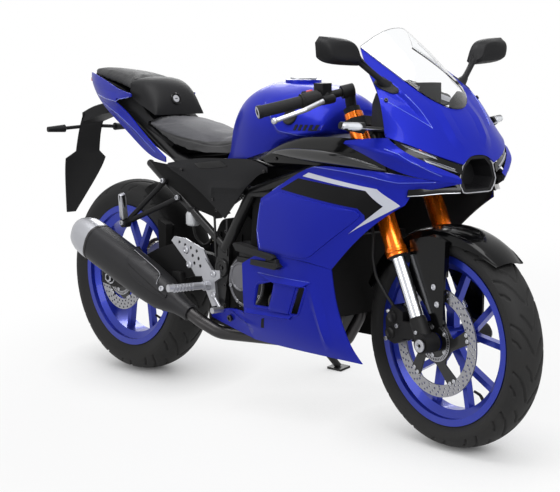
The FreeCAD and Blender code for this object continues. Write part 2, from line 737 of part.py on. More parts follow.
def steering():
    return [fork_outers(), fork_inners(), fork_feet(), triple_clamps(), handlebars(), hand_grips(),
            hand_controls(), hand_levers(), front_fender(), front_caliper(), brake_hose()]


# ---------------------------------------------------------------------------------------------------------
# Frame, engine and running gear
# ---------------------------------------------------------------------------------------------------------

PIVOT = Vector(size("pivot_x"), 0, size("pivot_height"))

# Frame tubes of one side: start and end as (x, half width, z), and whether it is a thin brace
FRAME_TUBES = (
    (fork_point(0, 20, 874), at(950, 104, 722), False),
    (at(950, 104, 722), at(706, 128, 640), False),
    (at(706, 128, 640), at(600, 137, 470), False),
    (fork_point(-3, 16, 833), at(1000, 122, 648), False),
    (at(1000, 122, 648), at(968, 126, 540), False),
    (at(1000, 122, 648), at(706, 132, 640), True),
    (at(706, 128, 640), at(330, 104, 722), False),
    (at(330, 104, 722), at(60, 70, 846), False),
    (at(598, 137, 470), at(190, 104, 696), True),
)


STAY_END = at(1236, 0, 802)
PIVOT_PLATE = ((572, 480), (622, 480), (618, PIVOT.z), (600, 300), (586, 247), (536, 247), (548, 320),
               (556, PIVOT.z))


def main_frame():
    """Tubular backbone: head tube, side tubes, pivot plates and the rails under the seats."""
    level_low = size("lower_clamp_level") + size("clamp_height") + size("head_clearance")
    level_high = size("upper_clamp_level") - size("head_clearance")
    stem_bore = "{stem_radius} + {stem_clearance}"
    head = rod("head_tube", "{stem_radius} + {head_tube_wall}", fork_point(0, 0, level_low),
               fork_point(0, 0, level_high))
    solids = [head]
    plate_inner = size("swingarm_inner") + size("swingarm_wall") + 0.5
    for side in BOTH:
        tag = "right" if side == RIGHT else "left"
        for number, (start, end, brace) in enumerate(FRAME_TUBES, start=1):
            radius = "{frame_brace_radius}" if brace else "{frame_tube_radius}"
            name = "frame_tube_%s_%d" % (tag, number)
            solids.append(rod(name, radius, Vector(start[0], side * start[1], start[2]),
                              Vector(end[0], side * end[1], end[2])))
            joint = doc.addObject("Part::Sphere", name + "_knot")
            bind(joint, "Radius", radius)
            joint.Placement.Base = Vector(end[0], side * end[1], end[2])
            solids.append(joint)
        outline = [(station(x), z) for x, z in PIVOT_PLATE]
        solids.append(plate("pivot_plate_" + tag, outline, plate_inner, "{pivot_plate}", side))
    span = plate_inner + size("pivot_plate")
    solids.append(cylinder("pivot_shaft", "{pivot_radius}", 2 * span, PIVOT - Vector(0, span, 0)))
    solids.append(rod("tail_bridge", "{frame_brace_radius}", Vector(120, -80, 818), Vector(120, 80, 818)))
    solids.append(rod("seat_bridge", "{frame_brace_radius}", Vector(330, -104, 722), Vector(330, 104, 722)))
    solids.append(rod("lower_bridge", "{frame_brace_radius}", Vector(560, -140, 266), Vector(560, 140, 266)))
    solids.append(rod("fairing_stay", "{frame_brace_radius}", fork_point(0, 0, 858), STAY_END))
    whole = joined("frame_whole", solids)
    hole = rod("head_bore", stem_bore, fork_point(0, 0, level_low - 40), fork_point(0, 0, level_high + 40))
    return cut("main_frame", whole, hole)


ENGINE_OUTLINE = ((612, 250), (900, 236), (938, 290), (934, 420), (958, 470), (962, 560), (930, 636),
                  (840, 652), (772, 618), (742, 500), (640, 492), (604, 452))


def engine():
    """Parallel twin as one block, with its round side covers and the output sprocket."""
    half = 106.0
    case = plate("engine_case", [(station(x), z) for x, z in ENGINE_OUTLINE], -half, 2 * half)
    notch = block("output_notch", (590, 66, 230), (735, half + 5, 500))
    body = cut("engine_body", case, notch)
    clutch = cylinder("clutch_cover", 80, 40, at(700, -half + 1, 380), Vector(0, -1, 0))
    cap = cylinder("clutch_cap", 46, 12, at(688, -half - 38, 396), Vector(0, -1, 0))
    water = cylinder("water_pump", 34, 30, at(818, -half + 1, 330), Vector(0, -1, 0))
    generator = cylinder("generator_cover", 68, 34, at(830, half - 1, 370), Vector(0, 1, 0))
    centre = at(size("front_sprocket_x"), 0, size("front_sprocket_z"))
    offset = disc_offset("rear_hub_length", "sprocket_thickness")
    shaft = cylinder("output_shaft", 14, offset - 56, centre + Vector(0, 60, 0))
    sprocket = cylinder("output_sprocket", "{front_sprocket_radius}", "{sprocket_thickness}",
                        centre + Vector(0, offset - size("sprocket_thickness") / 2, 0))
    return joined("engine", [body, clutch, cap, water, generator, shaft, sprocket])


def radiator():
    core = block("radiator_core", (1014, -138, 318), (1046, 138, 540))
    tanks = [block("radiator_tank_%d" % (side + 1), (1010, min(side * 138, side * 156), 314),
                   (1050, max(side * 138, side * 156), 544)) for side in BOTH]
    mounts = [rod("radiator_mount_%d" % (side + 1), 9, at(985.5, side * 126, 532), at(1016, side * 126, 532))
              for side in BOTH]
    return joined("radiator", [core] + tanks + mounts)


MUFFLER_START = Vector(478, -174, 261)
MUFFLER_END = Vector(-34, -214, 470)


def exhaust_pipe():
    """Two headers drop in front of the engine and merge into one pipe that runs back to the silencer."""
    headers = []
    for side in BOTH:
        route = [(962.3, side * 46, 544), (985, side * 46, 544), (988, side * 46, 470), (984, side * 46, 300),
                 (930, side * 34, 206), (820, side * 14, 202)]
        headers.append(pipe("header_%d" % (side + 1), route, size("header_radius"), 55))
    way = (MUFFLER_END - MUFFLER_START).normalize()
    mouth = MUFFLER_START - way * size("screen_gap")
    route = [(840, 0, 202), (690, -50, 202), (580, -148, 214), tuple(mouth - way * 50), tuple(mouth)]
    main = pipe("main_pipe", route, size("pipe_radius"), 90)
    return joined("exhaust_pipe", headers + [main])


# Silencer: distance along it from the pipe, half width, half height
MUFFLER_STATIONS = ((0, 25, 25), (55, 30, 30), (130, 46, 54), (215, 52, 61), (440, 54, 61), (520, 53, 58),
                    (560, 42, 46))


def rounded_half(half_width, half_height, corner=0.45):
    return [(0, half_height), (half_width * (1 - corner), half_height), (half_width, half_height * (1 - corner)),
            (half_width, -half_height * (1 - corner)), (half_width * (1 - corner), -half_height),
            (0, -half_height)]


def muffler():
    start, end = MUFFLER_START, MUFFLER_END
    can = loft("muffler_can", [(along, rounded_half(wide, tall)) for along, wide, tall in MUFFLER_STATIONS])
    can.Placement = Placement(start, Rotation(end - start, Vector(0, 1, 0), Vector(0, 0, 1), "XYZ"))
    outlet = rod("muffler_outlet", 22, end - (end - start) * 0.06, end + (end - start) * 0.05)
    strap = plate("muffler_strap", [(352, 372), (388, 372), (396, 322), (356, 312)], 128.3, 20)
    return joined("muffler", [can, outlet, strap])


SWINGARM_SIDE = ((-48, REAR_AXLE.z - 22), (-48, REAR_AXLE.z + 24), (40, REAR_AXLE.z + 38), (130, 378),
                 (250, 432), (330, 456), (560, 436), (600, 424), (600, 390), (560, 376), (420, 362),
                 (120, REAR_AXLE.z - 18), (20, REAR_AXLE.z - 30))
SWINGARM_BRIDGE = ((400, -size("swingarm_inner") - 1, 368), (500, size("swingarm_inner") + 1, 420))


def swingarm():
    inner = size("swingarm_inner")
    solids = []
    for side in BOTH:
        tag = "right" if side == RIGHT else "left"
        solids.append(plate("swingarm_side_" + tag, SWINGARM_SIDE, inner, "{swingarm_wall}", side))
    solids.append(block("swingarm_bridge", *SWINGARM_BRIDGE))
    body = joined("swingarm_body", solids)
    span = inner + size("swingarm_wall")
    holes = [cylinder("swingarm_pivot_hole", "{pivot_radius} + {tyre_seat_gap}", 2 * span + 20,
                      PIVOT - Vector(0, span + 10, 0))]
    for side in BOTH:
        mouth = Vector(62, side * (span + 1), REAR_AXLE.z + 12)
        holes.append(cylinder("bobbin_hole_%d" % (side + 1), "{bobbin_bore}", size("bobbin_depth") + 1, mouth,
                              Vector(0, -side, 0)))
    drilled = cut("swingarm_drilled", body, joined("swingarm_holes", holes))
    reach = span + 13
    axle = cylinder("rear_axle_bar", "{rear_axle_radius}", 2 * reach, REAR_AXLE - Vector(0, reach, 0))
    hub_end = size("rear_hub_length") / 2
    spacers = [cylinder("rear_spacer_%d" % (side + 1), 15, inner - hub_end - 9,
                        REAR_AXLE + Vector(0, side * (hub_end + 10), 0), Vector(0, side, 0)) for side in BOTH]
    nuts = [cylinder("rear_nut_%d" % (side + 1), 17, 10, REAR_AXLE + Vector(0, side * (span - 1), 0),
                     Vector(0, side, 0)) for side in BOTH]
    whole = joined("swingarm_whole", [drilled, axle] + spacers + nuts)
    hole = cylinder("rear_axle_hole", "{rear_axle_bore}", 2 * reach + 10, REAR_AXLE - Vector(0, reach + 5, 0))
    return cut("swingarm", whole, hole)


def shock():
    spring = rod("shock_spring", 30, Vector(470, 0, 452), Vector(560, 0, 600))
    shaft = rod("shock_shaft", 11, Vector(448, 0, 426.4), Vector(582, 0, 638))
    mount = rod("shock_mount", 13, Vector(582, -112, 638), Vector(582, 112, 638))
    return joined("shock", [spring, shaft, mount])


def belt_outline(radius_rear, radius_front, centre_front):
    """A closed wire round two sprockets in the wheel's plane."""
    way = centre_front - REAR_AXLE
    heading = math.atan2(way.z, way.x)
    lean = math.acos((radius_rear - radius_front) / way.Length)
    spots = []
    for centre, radius in ((REAR_AXLE, radius_rear), (centre_front, radius_front)):
        for turn in (heading + lean, heading - lean):
            spots.append(centre + Vector(math.cos(turn), 0, math.sin(turn)) * radius)
    upper_rear, lower_rear, upper_front, lower_front = spots
    back = REAR_AXLE - Vector(math.cos(heading), 0, math.sin(heading)) * radius_rear
    nose = centre_front + Vector(math.cos(heading), 0, math.sin(heading)) * radius_front
    return Part.Wire([Part.makeLine(upper_rear, upper_front), Part.Arc(upper_front, nose, lower_front).toShape(),
                      Part.makeLine(lower_front, lower_rear), Part.Arc(lower_rear, back, upper_rear).toShape()])


def chain():
    """One closed loop round both sprockets."""
    front = at(size("front_sprocket_x"), 0, size("front_sprocket_z"))
    rear_in = size("rear_sprocket_radius") + size("chain_gap")
    front_in = size("front_sprocket_radius") + size("tyre_seat_gap")
    height = size("chain_height")
    outer = Part.Face(belt_outline(rear_in + height, front_in + height, front))
    loop = outer.cut(Part.Face(belt_outline(rear_in, front_in, front)))
    offset = disc_offset("rear_hub_length", "sprocket_thickness") - size("chain_width") / 2
    solid = loop.extrude(Vector(0, size("chain_width"), 0))
    solid.translate(Vector(0, offset, 0))
    return solid_feature("chain", solid.Solids[0])


# Rear mudguard: heading round the wheel in degrees and the share of the full half width
HUGGER_STATIONS = ((8, 0.8), (24, 1.0), (40, 1.0), (56, 1.0), (72, 0.8))


def round_rear_axle(reach, heading):
    """A point (x, z) by its distance from the rear axle and its heading in degrees above level."""
    turn = math.radians(heading)
    return (reach * math.cos(turn), REAR_AXLE.z + reach * math.sin(turn))


def rear_mudguard():
    """A short hugger on the swingarm: an ear on the right arm and a tongue on the bridge."""
    crown = size("rear_tyre_radius") + size("fender_gap")
    half = size("hugger_half_width")
    rows = []
    for heading, share in HUGGER_STATIONS:
        turn = math.radians(heading)
        row = []
        for across, fall in ((0.0, 0.0), (0.5, 4.0), (0.85, 14.0), (1.0, 26.0)):
            reach = crown - fall
            row.append((reach * math.cos(turn), half * across * share, REAR_AXLE.z + reach * math.sin(turn)))
        rows.append(row)
    guard = solid_feature("hugger_skin", skin_shape(across_middle(rows), size("panel_wall"), REAR_AXLE, 0.0, LEFT))
    ear_inner = size("rear_tyre_width") / 2 + size("disc_clearance") + 0.5
    reach = size("swingarm_inner") - size("tyre_seat_gap") - ear_inner
    upper, lower = round_rear_axle(crown - 24, 43.1), round_rear_axle(crown - 3, 36.2)
    ear = plate("hugger_ear", [upper, lower, (lower[0], 420), (upper[0] + 4, 404)], ear_inner, reach)
    flange_outline = [round_rear_axle(crown - 22, 42.3), round_rear_axle(crown - 5.4, 35.7),
                      round_rear_axle(crown - 19, 34.7), round_rear_axle(crown - 36, 41.1)]
    flange = plate("hugger_flange", flange_outline, half - 6, 14)
    low, high = round_rear_axle(crown - 3, 9.2), round_rear_axle(crown - 3, 10.6)
    bridge_face = SWINGARM_BRIDGE[0][0] - size("tyre_seat_gap")
    tongue = plate("hugger_tongue", [low, high, (bridge_face, 376), (bridge_face, 369)], -30, 60)
    return joined("rear_mudguard", [guard, ear, flange, tongue])


def rear_caliper():
    offset = disc_offset("rear_hub_length", "disc_thickness")
    slot = size("disc_thickness") / 2 + size("disc_clearance")
    radius = size("rear_disc_radius")
    outline = [(52, REAR_AXLE.z + 50), (110, REAR_AXLE.z + 24), (124, REAR_AXLE.z + 62), (78, REAR_AXLE.z + 104)]
    inner = offset - slot - 8
    body = plate("rear_caliper_body", outline, inner, size("swingarm_inner") - size("tyre_seat_gap") - inner)
    gap = ring("rear_caliper_slot", REAR_AXLE, -offset, radius + size("disc_clearance"), 40, 2 * slot)
    return cut("rear_caliper", body, gap)


# Holes through the heel plates, (x, z)
HEEL_HOLES = ((392, 468), (420, 462), (448, 456), (476, 449), (428, 440), (456, 433), (484, 427), (464, 411),
              (492, 405))


def footrests():
    """Rider's pegs on cast brackets with heel plates, the brake pedal on the right and the shifter on the left."""
    pieces = []
    inner = size("swingarm_inner") + size("swingarm_wall") + 0.5 + size("pivot_plate") + size("tyre_seat_gap")
    heel = [(352, 470), (366, 484), (420, 482), (507, 458), (546, 400), (540, 380), (470, 372), (452, 392)]
    arm = [(520, 432), (552, 400), (590, 402), (592, 380), (566, 366), (576, 296), (554, 290), (520, 344),
           (505, 380)]
    for side in BOTH:
        tag = "right" if side == RIGHT else "left"
        solids = [plate("heel_plate_" + tag, heel, inner, 5, side), plate("foot_bracket_" + tag, arm, inner, 10, side),
                  rod("peg_" + tag, 11, Vector(534, side * (inner + 4), 352), Vector(506, side * 284, 352)),
                  rod("peg_root_" + tag, 15, Vector(538, side * inner, 352), Vector(533, side * (inner + 26), 352)),
                  rod("lever_link_" + tag, 6, Vector(560, side * (inner + 7), 320),
                      at(612, side * (inner + 24), 290)),
                  rod("toe_pad_" + tag, 9, at(612, side * (inner + 19), 290),
                      at(612, side * (inner + 58), 290))]
        holes = [cylinder("heel_hole_%s_%d" % (tag, number), 5.5, 30, Vector(x, side * (inner - 10), z),
                          Vector(0, side, 0)) for number, (x, z) in enumerate(HEEL_HOLES)]
        pieces.append(cut("footrest_" + tag, joined("footrest_whole_" + tag, solids),
                          together("heel_holes_" + tag, holes)))
    return together("footrests", pieces)


def passenger_footrests():
    """Folded pegs on braced brackets below the seat rails."""
    pieces = []
    for side in BOTH:
        tag = "right" if side == RIGHT else "left"
        foot = Vector(168, side * 186, 512)
        solids = [rod("passenger_strut_front_" + tag, 8, Vector(380, side * 136.5, 604), foot),
                  rod("passenger_strut_rear_" + tag, 8, Vector(300, side * 130.5, 650), foot),
                  rod("passenger_boss_" + tag, 15, foot + Vector(0, -side * 10, 0), foot + Vector(0, side * 14, 0)),
                  rod("passenger_peg_" + tag, 10, foot + Vector(0, side * 6, 6), foot + Vector(26, side * 34, 92))]
        pieces.append(joined("passenger_footrest_" + tag, solids))
    return together("passenger_footrests", pieces)


# ---------------------------------------------------------------------------------------------------------
# Tank, seats and tail.  Sections are half outlines of (half width, z) from the top line to the bottom line.
# ---------------------------------------------------------------------------------------------------------

TANK_TOP = 962.0
TANK_SECTIONS = (
    (577, ((0, 868), (44, 864), (78, 846), (98, 806), (108, 760), (112, 727), (0, 727))),
    (612, ((0, 912), (50, 908), (92, 890), (114, 845), (124, 790), (126, 727), (0, 727))),
    (660, ((0, 948), (60, 942), (112, 915), (138, 865), (143, 800), (140, 730), (0, 730))),
    (720, ((0, TANK_TOP), (65, 957), (128, 925), (160, 870), (161, 805), (152, 744), (0, 744))),
    (800, ((0, TANK_TOP), (68, 957), (138, 925), (174, 868), (170, 805), (158, 766), (0, 766))),
    (880, ((0, 955), (68, 950), (140, 920), (178, 862), (175, 812), (160, 788), (0, 788))),
    (955, ((0, 936), (64, 930), (126, 900), (160, 856), (161, 822), (150, 806), (0, 806))),
    (1002, ((0, 905), (54, 899), (102, 874), (132, 846), (134, 830), (120, 818), (0, 818))),
)
RIDER_SEAT_SECTIONS = (
    (172, ((0, 846), (66, 842), (100, 826), (104, 814), (0, 814))),
    (240, ((0, 842), (74, 839), (116, 818), (118, 796), (0, 796))),
    (330, ((0, 826), (80, 822), (126, 800), (130, 762), (0, 762))),
    (420, ((0, 804), (78, 800), (124, 780), (136, 745), (0, 745))),
    (500, ((0, 794), (60, 790), (102, 772), (126, 742), (0, 742))),
    (576.4, ((0, 806), (44, 802), (78, 780), (110, 742), (0, 742))),
)
PILLION_SEAT_SECTIONS = (
    (-236, ((0, 989), (6, 988), (11, 983), (11, 976), (0, 976))),
    (-200, ((0, 992), (26, 990), (35, 980), (35, 964), (0, 964))),
    (-110, ((0, 990), (44, 987), (59, 974), (59, 952), (0, 952))),
    (0, ((0, 980), (62, 976), (79, 960), (79, 936), (0, 936))),
    (80, ((0, 966), (76, 962), (98, 946), (98, 922), (0, 922))),
)
SEAT_HUMP_SECTIONS = (
    (80.4, ((0, 966), (70, 961), (98, 944), (100, 905), (0, 905))),
    (135, ((0, 968), (68, 962), (98, 936), (108, 880), (0, 880))),
    (178, ((0, 940), (66, 932), (94, 905), (104, 864), (0, 864))),
    (206, ((0, 896), (60, 890), (88, 872), (98, 847), (0, 847))),
)
TAIL_CORE_SECTIONS = (
    (-226, ((0, 972), (14, 972), (22, 950), (18, 930), (0, 930))),
    (-150, ((0, 956), (40, 956), (54, 930), (50, 892), (0, 892))),
    (-20, ((0, 934), (72, 934), (82, 900), (76, 846), (0, 846))),
    (80, ((0, 904), (86, 904), (94, 870), (88, 806), (0, 806))),
    (170, ((0, 846), (92, 846), (100, 820), (98, 766), (0, 766))),
    (300, ((0, 766), (92, 766), (106, 750), (104, 716), (0, 716))),
)


def fuel_tank():
    body = loft("tank_body", TANK_SECTIONS)
    neck = at(size("filler_x"), 0, TANK_TOP - 6)
    filler = cylinder("filler_ring", "{filler_radius}", 6 + size("filler_height"), neck, Vector(0, 0, 1))
    return joined("fuel_tank", [body, filler])


LID_TOP = TANK_TOP + size("filler_height") + size("lid_gap")


def lid_hinge():
    """The lid's pin runs across the machine, ahead of the lid."""
    return Vector(station(size("filler_x")) + size("lid_radius") + 5, 0, LID_TOP + size("lid_thickness") / 2)


def fuel_lid():
    centre = at(size("filler_x"), 0, LID_TOP)
    disc = cylinder("lid_disc", "{lid_radius}", "{lid_thickness}", centre, Vector(0, 0, 1))
    hinge = lid_hinge()
    barrel = cylinder("lid_barrel", "{lid_thickness} / 2", 16, hinge - Vector(0, 8, 0))
    tongue = block("lid_tongue", (0, 0, 0), (hinge.x - centre.x - size("lid_radius") + 6, 16, size("lid_thickness")))
    tongue.Placement.Base = Vector(centre.x + size("lid_radius") - 6, -8, LID_TOP)
    return joined("fuel_lid", [disc, tongue, barrel])


def rider_seat():
    return loft("rider_seat", RIDER_SEAT_SECTIONS)


def pillion_seat():
    return loft("pillion_seat", PILLION_SEAT_SECTIONS)


def seat_hump():
    return loft("seat_hump", SEAT_HUMP_SECTIONS)


def tail_core():
    """Black inner tail between the painted panels, hollowed where the seats and the frame rails sit in it."""
    core = loft_shape(TAIL_CORE_SECTIONS)
    for sections in (RIDER_SEAT_SECTIONS, PILLION_SEAT_SECTIONS, SEAT_HUMP_SECTIONS):
        core = core.cut(loft_shape(sections))
    gap = size("tyre_seat_gap")
    for side in BOTH:
        for start, end, brace in FRAME_TUBES[6:]:
            radius = size("frame_brace_radius" if brace else "frame_tube_radius") + gap
            low, high = Vector(start[0], side * start[1], start[2]), Vector(end[0], side * end[1], end[2])
            core = core.cut(Part.makeCylinder(radius, (high - low).Length, low, high - low))
            core = core.cut(Part.makeSphere(radius, high))
    for x, y, z in ((120, 80, 818), (330, 104, 722)):
        core = core.cut(Part.makeCylinder(size("frame_brace_radius") + gap, 2 * y, Vector(x, -y, z),
                                          Vector(0, 1, 0)))
    return solid_feature("tail_core", max(core.Solids, key=lambda solid: solid.Volume))


# Columns: top edge, the tip's lower edge, the fork between tip and strip, the strip's upper edge, bottom edge;
# None where the panel is open
TAIL_WING = (
    ((-242, 22, 974), (-239, 24.5, 964), (-236, 27, 955), (-232, 27.5, 946), (-228, 28, 936)),
    ((-189, 50, 972), (-184, 57, 956), (-178, 64, 940), (-165, 65, 918), (-150, 66, 896)),
    ((-60, 90, 948), (-58, 94, 926), (-55, 98, 905), (-53, 95, 878), (-50, 92, 850)),
    ((24, 112, 926), (24, 112.5, 894), (24, 112.5, 887), (24, 112, 880), (20, 102, 817)),
    ((72, 122, 919), (72, 120, 893), None, (80, 114, 852), (57, 106, 799)),
    ((124, 130, 911), (122, 128, 902), None, (133, 122, 822), (130, 112, 758)),
    (None, None, None, (220, 134, 770), (215, 120, 716)),
    (None, None, None, (311, 140, 722), (300, 130, 706)),
)


def tail_wings():
    """Painted side panels: a wide wing beside the passenger's seat and a strip that runs down to the frame."""
    return pair_of_skins("tail_wings", TAIL_WING, (60, 0, 820))


def tail_light():
    sections = []
    for x, half_width, half_height in ((-246, 21.4, 10), (-226.4, 23.4, 14)):
        sections.append((x, [(y, z + 951) for y, z in rounded_half(half_width, half_height)]))
    return loft("tail_light", sections)


# Plate bracket: x, half widths and height of each level
PLATE_LEVELS = ((-262, (0, 24, 46), 836), (-292, (0, 24, 44), 782), (-306, (0, 28, 48), 706), (-318, (0, 48, 82), 682),
                (-334, (0, 44, 76), 640), (-412, (0, 10, 18), 488))


def plate_bracket():
    rows = [[(x, half, z) for half in halves] for x, halves, z in PLATE_LEVELS]
    back = whole_skin("plate_back", rows, (0, 0, 600), "fender_wall")
    arm = loft("plate_arm", ((-270, ((0, 842), (44, 838), (44, 806), (0, 802))),
                             (-200, ((0, 872), (42, 866), (40, 826), (0, 822))),
                             (-120, ((0, 880.9), (40, 877), (38, 846), (0, 842)))))
    return joined("plate_bracket", [back, arm])


def rear_signals():
    pieces = []
    for side in BOTH:
        tag = "right" if side == RIGHT else "left"
        stalk = rod("rear_signal_stalk_" + tag, 6, Vector(-282, side * 45.2, 790), Vector(-288, side * 112, 786))
        lens = cone("rear_signal_lens_" + tag, 13, 9, Vector(-288, side * 104, 786), Vector(-296, side * 166, 784))
        pieces.append(joined("rear_signal_" + tag, [stalk, lens]))
    return together("rear_signals", pieces)


# ---------------------------------------------------------------------------------------------------------
# Fairing.  Each skin is a grid of (x, half width, z): rows run down, columns run forward.
# ---------------------------------------------------------------------------------------------------------

SIDE_COVER = (
    ((300, 121.4, 704), (450, 134.4, 729), (600, 146, 735), (700, 156, 742), (763, 165, 740), (824, 174, 724)),
    ((314, 134, 695), (455, 150, 690), (605, 163, 660), (705, 170, 700), (775, 172, 722), (826, 175, 716)),
    ((330, 130, 684), (470, 146, 645), (616, 157.6, 560), (700, 166, 640), (780, 170, 704), (822, 173, 708)),
)
UPPER_COVER = (
    ((820, 166, 763), (885, 179, 797), (975, 183, 816), (1080, 180, 822), (1200, 184, 822), (1306, 196, 822)),
    ((806, 174, 757), (882, 187, 790), (975, 193, 808), (1080, 190, 813), (1200, 198, 806), (1312, 205, 800)),
    ((810, 182, 750), (885, 196, 774), (985, 205, 785), (1090, 213, 785), (1208, 215, 780), (1318, 213, 776)),
    ((822, 178, 738), (900, 190, 742), (1000, 198, 744), (1100, 203, 744), (1215, 207, 743), (1325, 206, 744)),
)
SIDE_FAIRING = (
    ((1044, 207, 746), (1159, 213, 746), (1250, 215, 744), (1335, 213, 742), (1400, 178, 728), (1471, 84, 716)),
    ((935, 204, 692), (1080, 219, 690), (1195, 223, 688), (1285, 213, 688), (1340, 189, 688), (1371, 160, 686)),
    ((880, 202, 665), (1035, 222, 660), (1150, 229, 660), (1245, 221, 660), (1310, 201, 660), (1361, 175, 658)),
    ((827, 200, 637), (975, 224, 625), (1085, 231, 622), (1180, 225, 620), (1240, 210, 618), (1286, 190, 617)),
    ((808, 205, 547), (940, 223, 545), (1040, 231, 545), (1110, 226, 545), (1155, 214, 543), (1191, 200, 541)),
    ((829, 209, 488), (930, 221, 486), (1000, 226, 484), (1049, 225, 482), (1090, 213, 474), (1119, 204, 467)),
)
FAIRING_WING = (
    ((1190, 224, 818), (1262, 222, 827), (1334, 214, 831), (1376, 202, 797), (1425, 150, 766), (1462, 86, 735)),
    ((1188, 228, 811), (1262, 234, 806), (1330, 230, 795), (1386, 207, 778), (1434, 152, 750), (1474, 86, 726)),
    ((1198, 222, 804), (1264, 220, 783), (1338, 212, 752), (1400, 180, 731), (1440, 128, 722), (1471, 82, 714)),
)
BELLY_FAIRING = (
    ((752, 206, 446), (829, 209, 487.4), (930, 221, 485.4), (1049, 225, 481.4), (1119, 204, 466.4)),
    ((752, 204, 390), (829, 210, 404), (930, 218, 404), (1040, 218, 402), (1118, 192, 400)),
    ((751, 200, 325), (829, 204, 330), (930, 208, 332), (1040, 204, 336), (1124, 182, 345)),
    ((738, 184, 272), (829, 188, 268), (930, 190, 264), (1060, 188, 262), (1170, 184.5, 262)),
    ((745, 152, 218), (829, 156, 216), (930, 160, 215), (1070, 166, 216), (1222, 187.5, 222)),
)
BELLY_TAIL = (
    ((548, 154, 268), (650, 166, 305), (740, 190, 300)),
    ((552, 152, 258), (655, 156, 238), (745, 152, 219)),
)
FRONT_COWL = (
    ((1382, 0, 899), (1380, 22, 901), (1370, 46, 909), (1340, 80, 932), (1290, 100, 968), (1210, 108, 1015),
     (1120, 102, 1060)),
    ((1406, 0, 872), (1403, 30, 875), (1394, 54, 881), (1368, 92, 899), (1325, 124, 926), (1264, 144, 962),
     (1196, 153, 1003)),
    ((1431, 0, 835), (1429, 30, 837), (1422, 58, 841), (1402, 108, 851), (1366, 152, 868), (1322, 182, 897),
     (1281, 187, 938)),
    ((1452, 0, 785), (1453, 32, 784), (1458, 60, 763), (1441, 115, 780), (1406, 165, 804), (1362, 203, 824),
     (1324, 213, 834)),
)
HEADLIGHT = (
    ((1342, 205, 828), (1362, 199, 820), (1404, 162, 800), (1439, 112, 776), (1455, 64, 760)),
    ((1372, 201, 797), (1380, 196, 793), (1412, 160, 772), (1436, 120, 754), (1460, 66, 737)),
)
WINDSCREEN = (
    ((1382, 0, 899), (1380, 22, 901), (1370, 46, 909)),
    ((1362, 0, 930), (1356, 36, 930), (1340, 80, 932)),
    ((1325, 0, 978), (1315, 50, 974), (1290, 100, 968)),
    ((1258, 0, 1050), (1244, 54, 1040), (1210, 108, 1015)),
    ((1164, 0, 1114), (1150, 54, 1102), (1120, 102, 1060)),
)


def pair_of_skins(name, rows, inside, lift=0.0):
    return together(name, [skin(name + "_right", rows, inside, lift=lift, side=RIGHT),
                           skin(name + "_left", rows, inside, lift=lift, side=LEFT)])


def side_fairings():
    pieces = []
    for side in BOTH:
        tag = "right" if side == RIGHT else "left"
        solids = [skin("fairing_side_" + tag, SIDE_FAIRING, (1100, 0, 620), side=side),
                  skin("fairing_wing_" + tag, FAIRING_WING, (1250, 0, 790), side=side)]
        pieces.append(joined("side_fairing_" + tag, solids))
    return together("side_fairings", pieces)


# Windows through the lower fairing, corners (x, z): the wide one behind and the narrow one ahead
BELLY_WINDOWS = (((824, 393), (904, 413), (867, 334), (803, 332)), ((1003, 407), (1032, 408), (986, 328), (957, 327)))


def belly_fairings():
    """Lower side panels with their tails; two windows let the engine's heat out."""
    pieces = []
    for side in BOTH:
        tag = "right" if side == RIGHT else "left"
        tail = BELLY_TAIL if side == RIGHT else [row[1:] for row in BELLY_TAIL]
        solids = [skin("belly_side_" + tag, BELLY_FAIRING, (950, 0, 400), side=side),
                  skin("belly_tail_" + tag, tail, (650, 0, 300), side=side)]
        windows = [plate("belly_window_%s_%d" % (tag, number), [(station(x), z) for x, z in corners], 150, 120, side)
                   for number, corners in enumerate(BELLY_WINDOWS)]
        pieces.append(cut("belly_fairing_" + tag, joined("belly_whole_" + tag, solids),
                          together("belly_windows_" + tag, windows)))
    return together("belly_fairings", pieces)


def cowl_shape(wall):
    return skin_shape(across_middle(stretched(FRONT_COWL)), wall, at(1250, 0, 850), 0.0, LEFT)


def front_cowl():
    return solid_feature("front_cowl", cowl_shape(size("panel_wall")))


def windscreen():
    lift = size("screen_wall") + size("screen_gap")
    return whole_skin("windscreen", WINDSCREEN, (1150, 0, 900), "screen_wall", lift)


def headlights():
    return pair_of_skins("headlights", HEADLIGHT, (1250, 0, 790), lift=-size("screen_gap"))


def nose_duct():
    """A funnel-shaped opening under the beak, open at the front and closed by its floor at the back."""
    outline = ((0, 783), (32, 782), (58, 760), (72, 722), (54, 690), (0, 688))
    outer = loft("nose_duct_outer", ((1392, [(y * 0.8, (z - 735) * 0.8 + 735) for y, z in outline]),
                                     (1452, outline)))
    inner = loft("nose_duct_inner", ((1400, [(y * 0.66, (z - 735) * 0.66 + 735) for y, z in outline]),
                                     (1460, [(y * 0.86, (z - 735) * 0.86 + 735) for y, z in outline])))
    return cut("nose_duct", outer, inner)


def inner_fairing():
    """Instrument panel on its bracket behind the screen."""
    panel = block("instrument_panel", (1226, -72, 900), (1256, 72, 966))
    spine = block("instrument_spine", (1250, -26, 800), (1424, 26, 826))
    post = block("instrument_post", (1239, -26, 790), (1262, 26, 910))
    return joined("inner_fairing", [panel, spine, post])


def mirrors():
    pieces = []
    for side in BOTH:
        tag = "right" if side == RIGHT else "left"
        base = at(1262, side * 150.0, 966)
        arm = rod("mirror_arm_" + tag, 8, base, at(1236, side * 226, 1026))
        foot = cone("mirror_foot_" + tag, 20, 9, base - Vector(6, side * 12, 10), base + Vector(-6, side * 18, 12))
        head = solid_feature("mirror_head_" + tag, mirror_head_shape(side))
        pieces.append(joined("mirror_" + tag, [arm, foot, head]))
    body = together("mirrors_untrimmed", pieces)
    return cut("mirrors", body, solid_feature("mirror_seat", cowl_shape(size("panel_wall") + 40)))


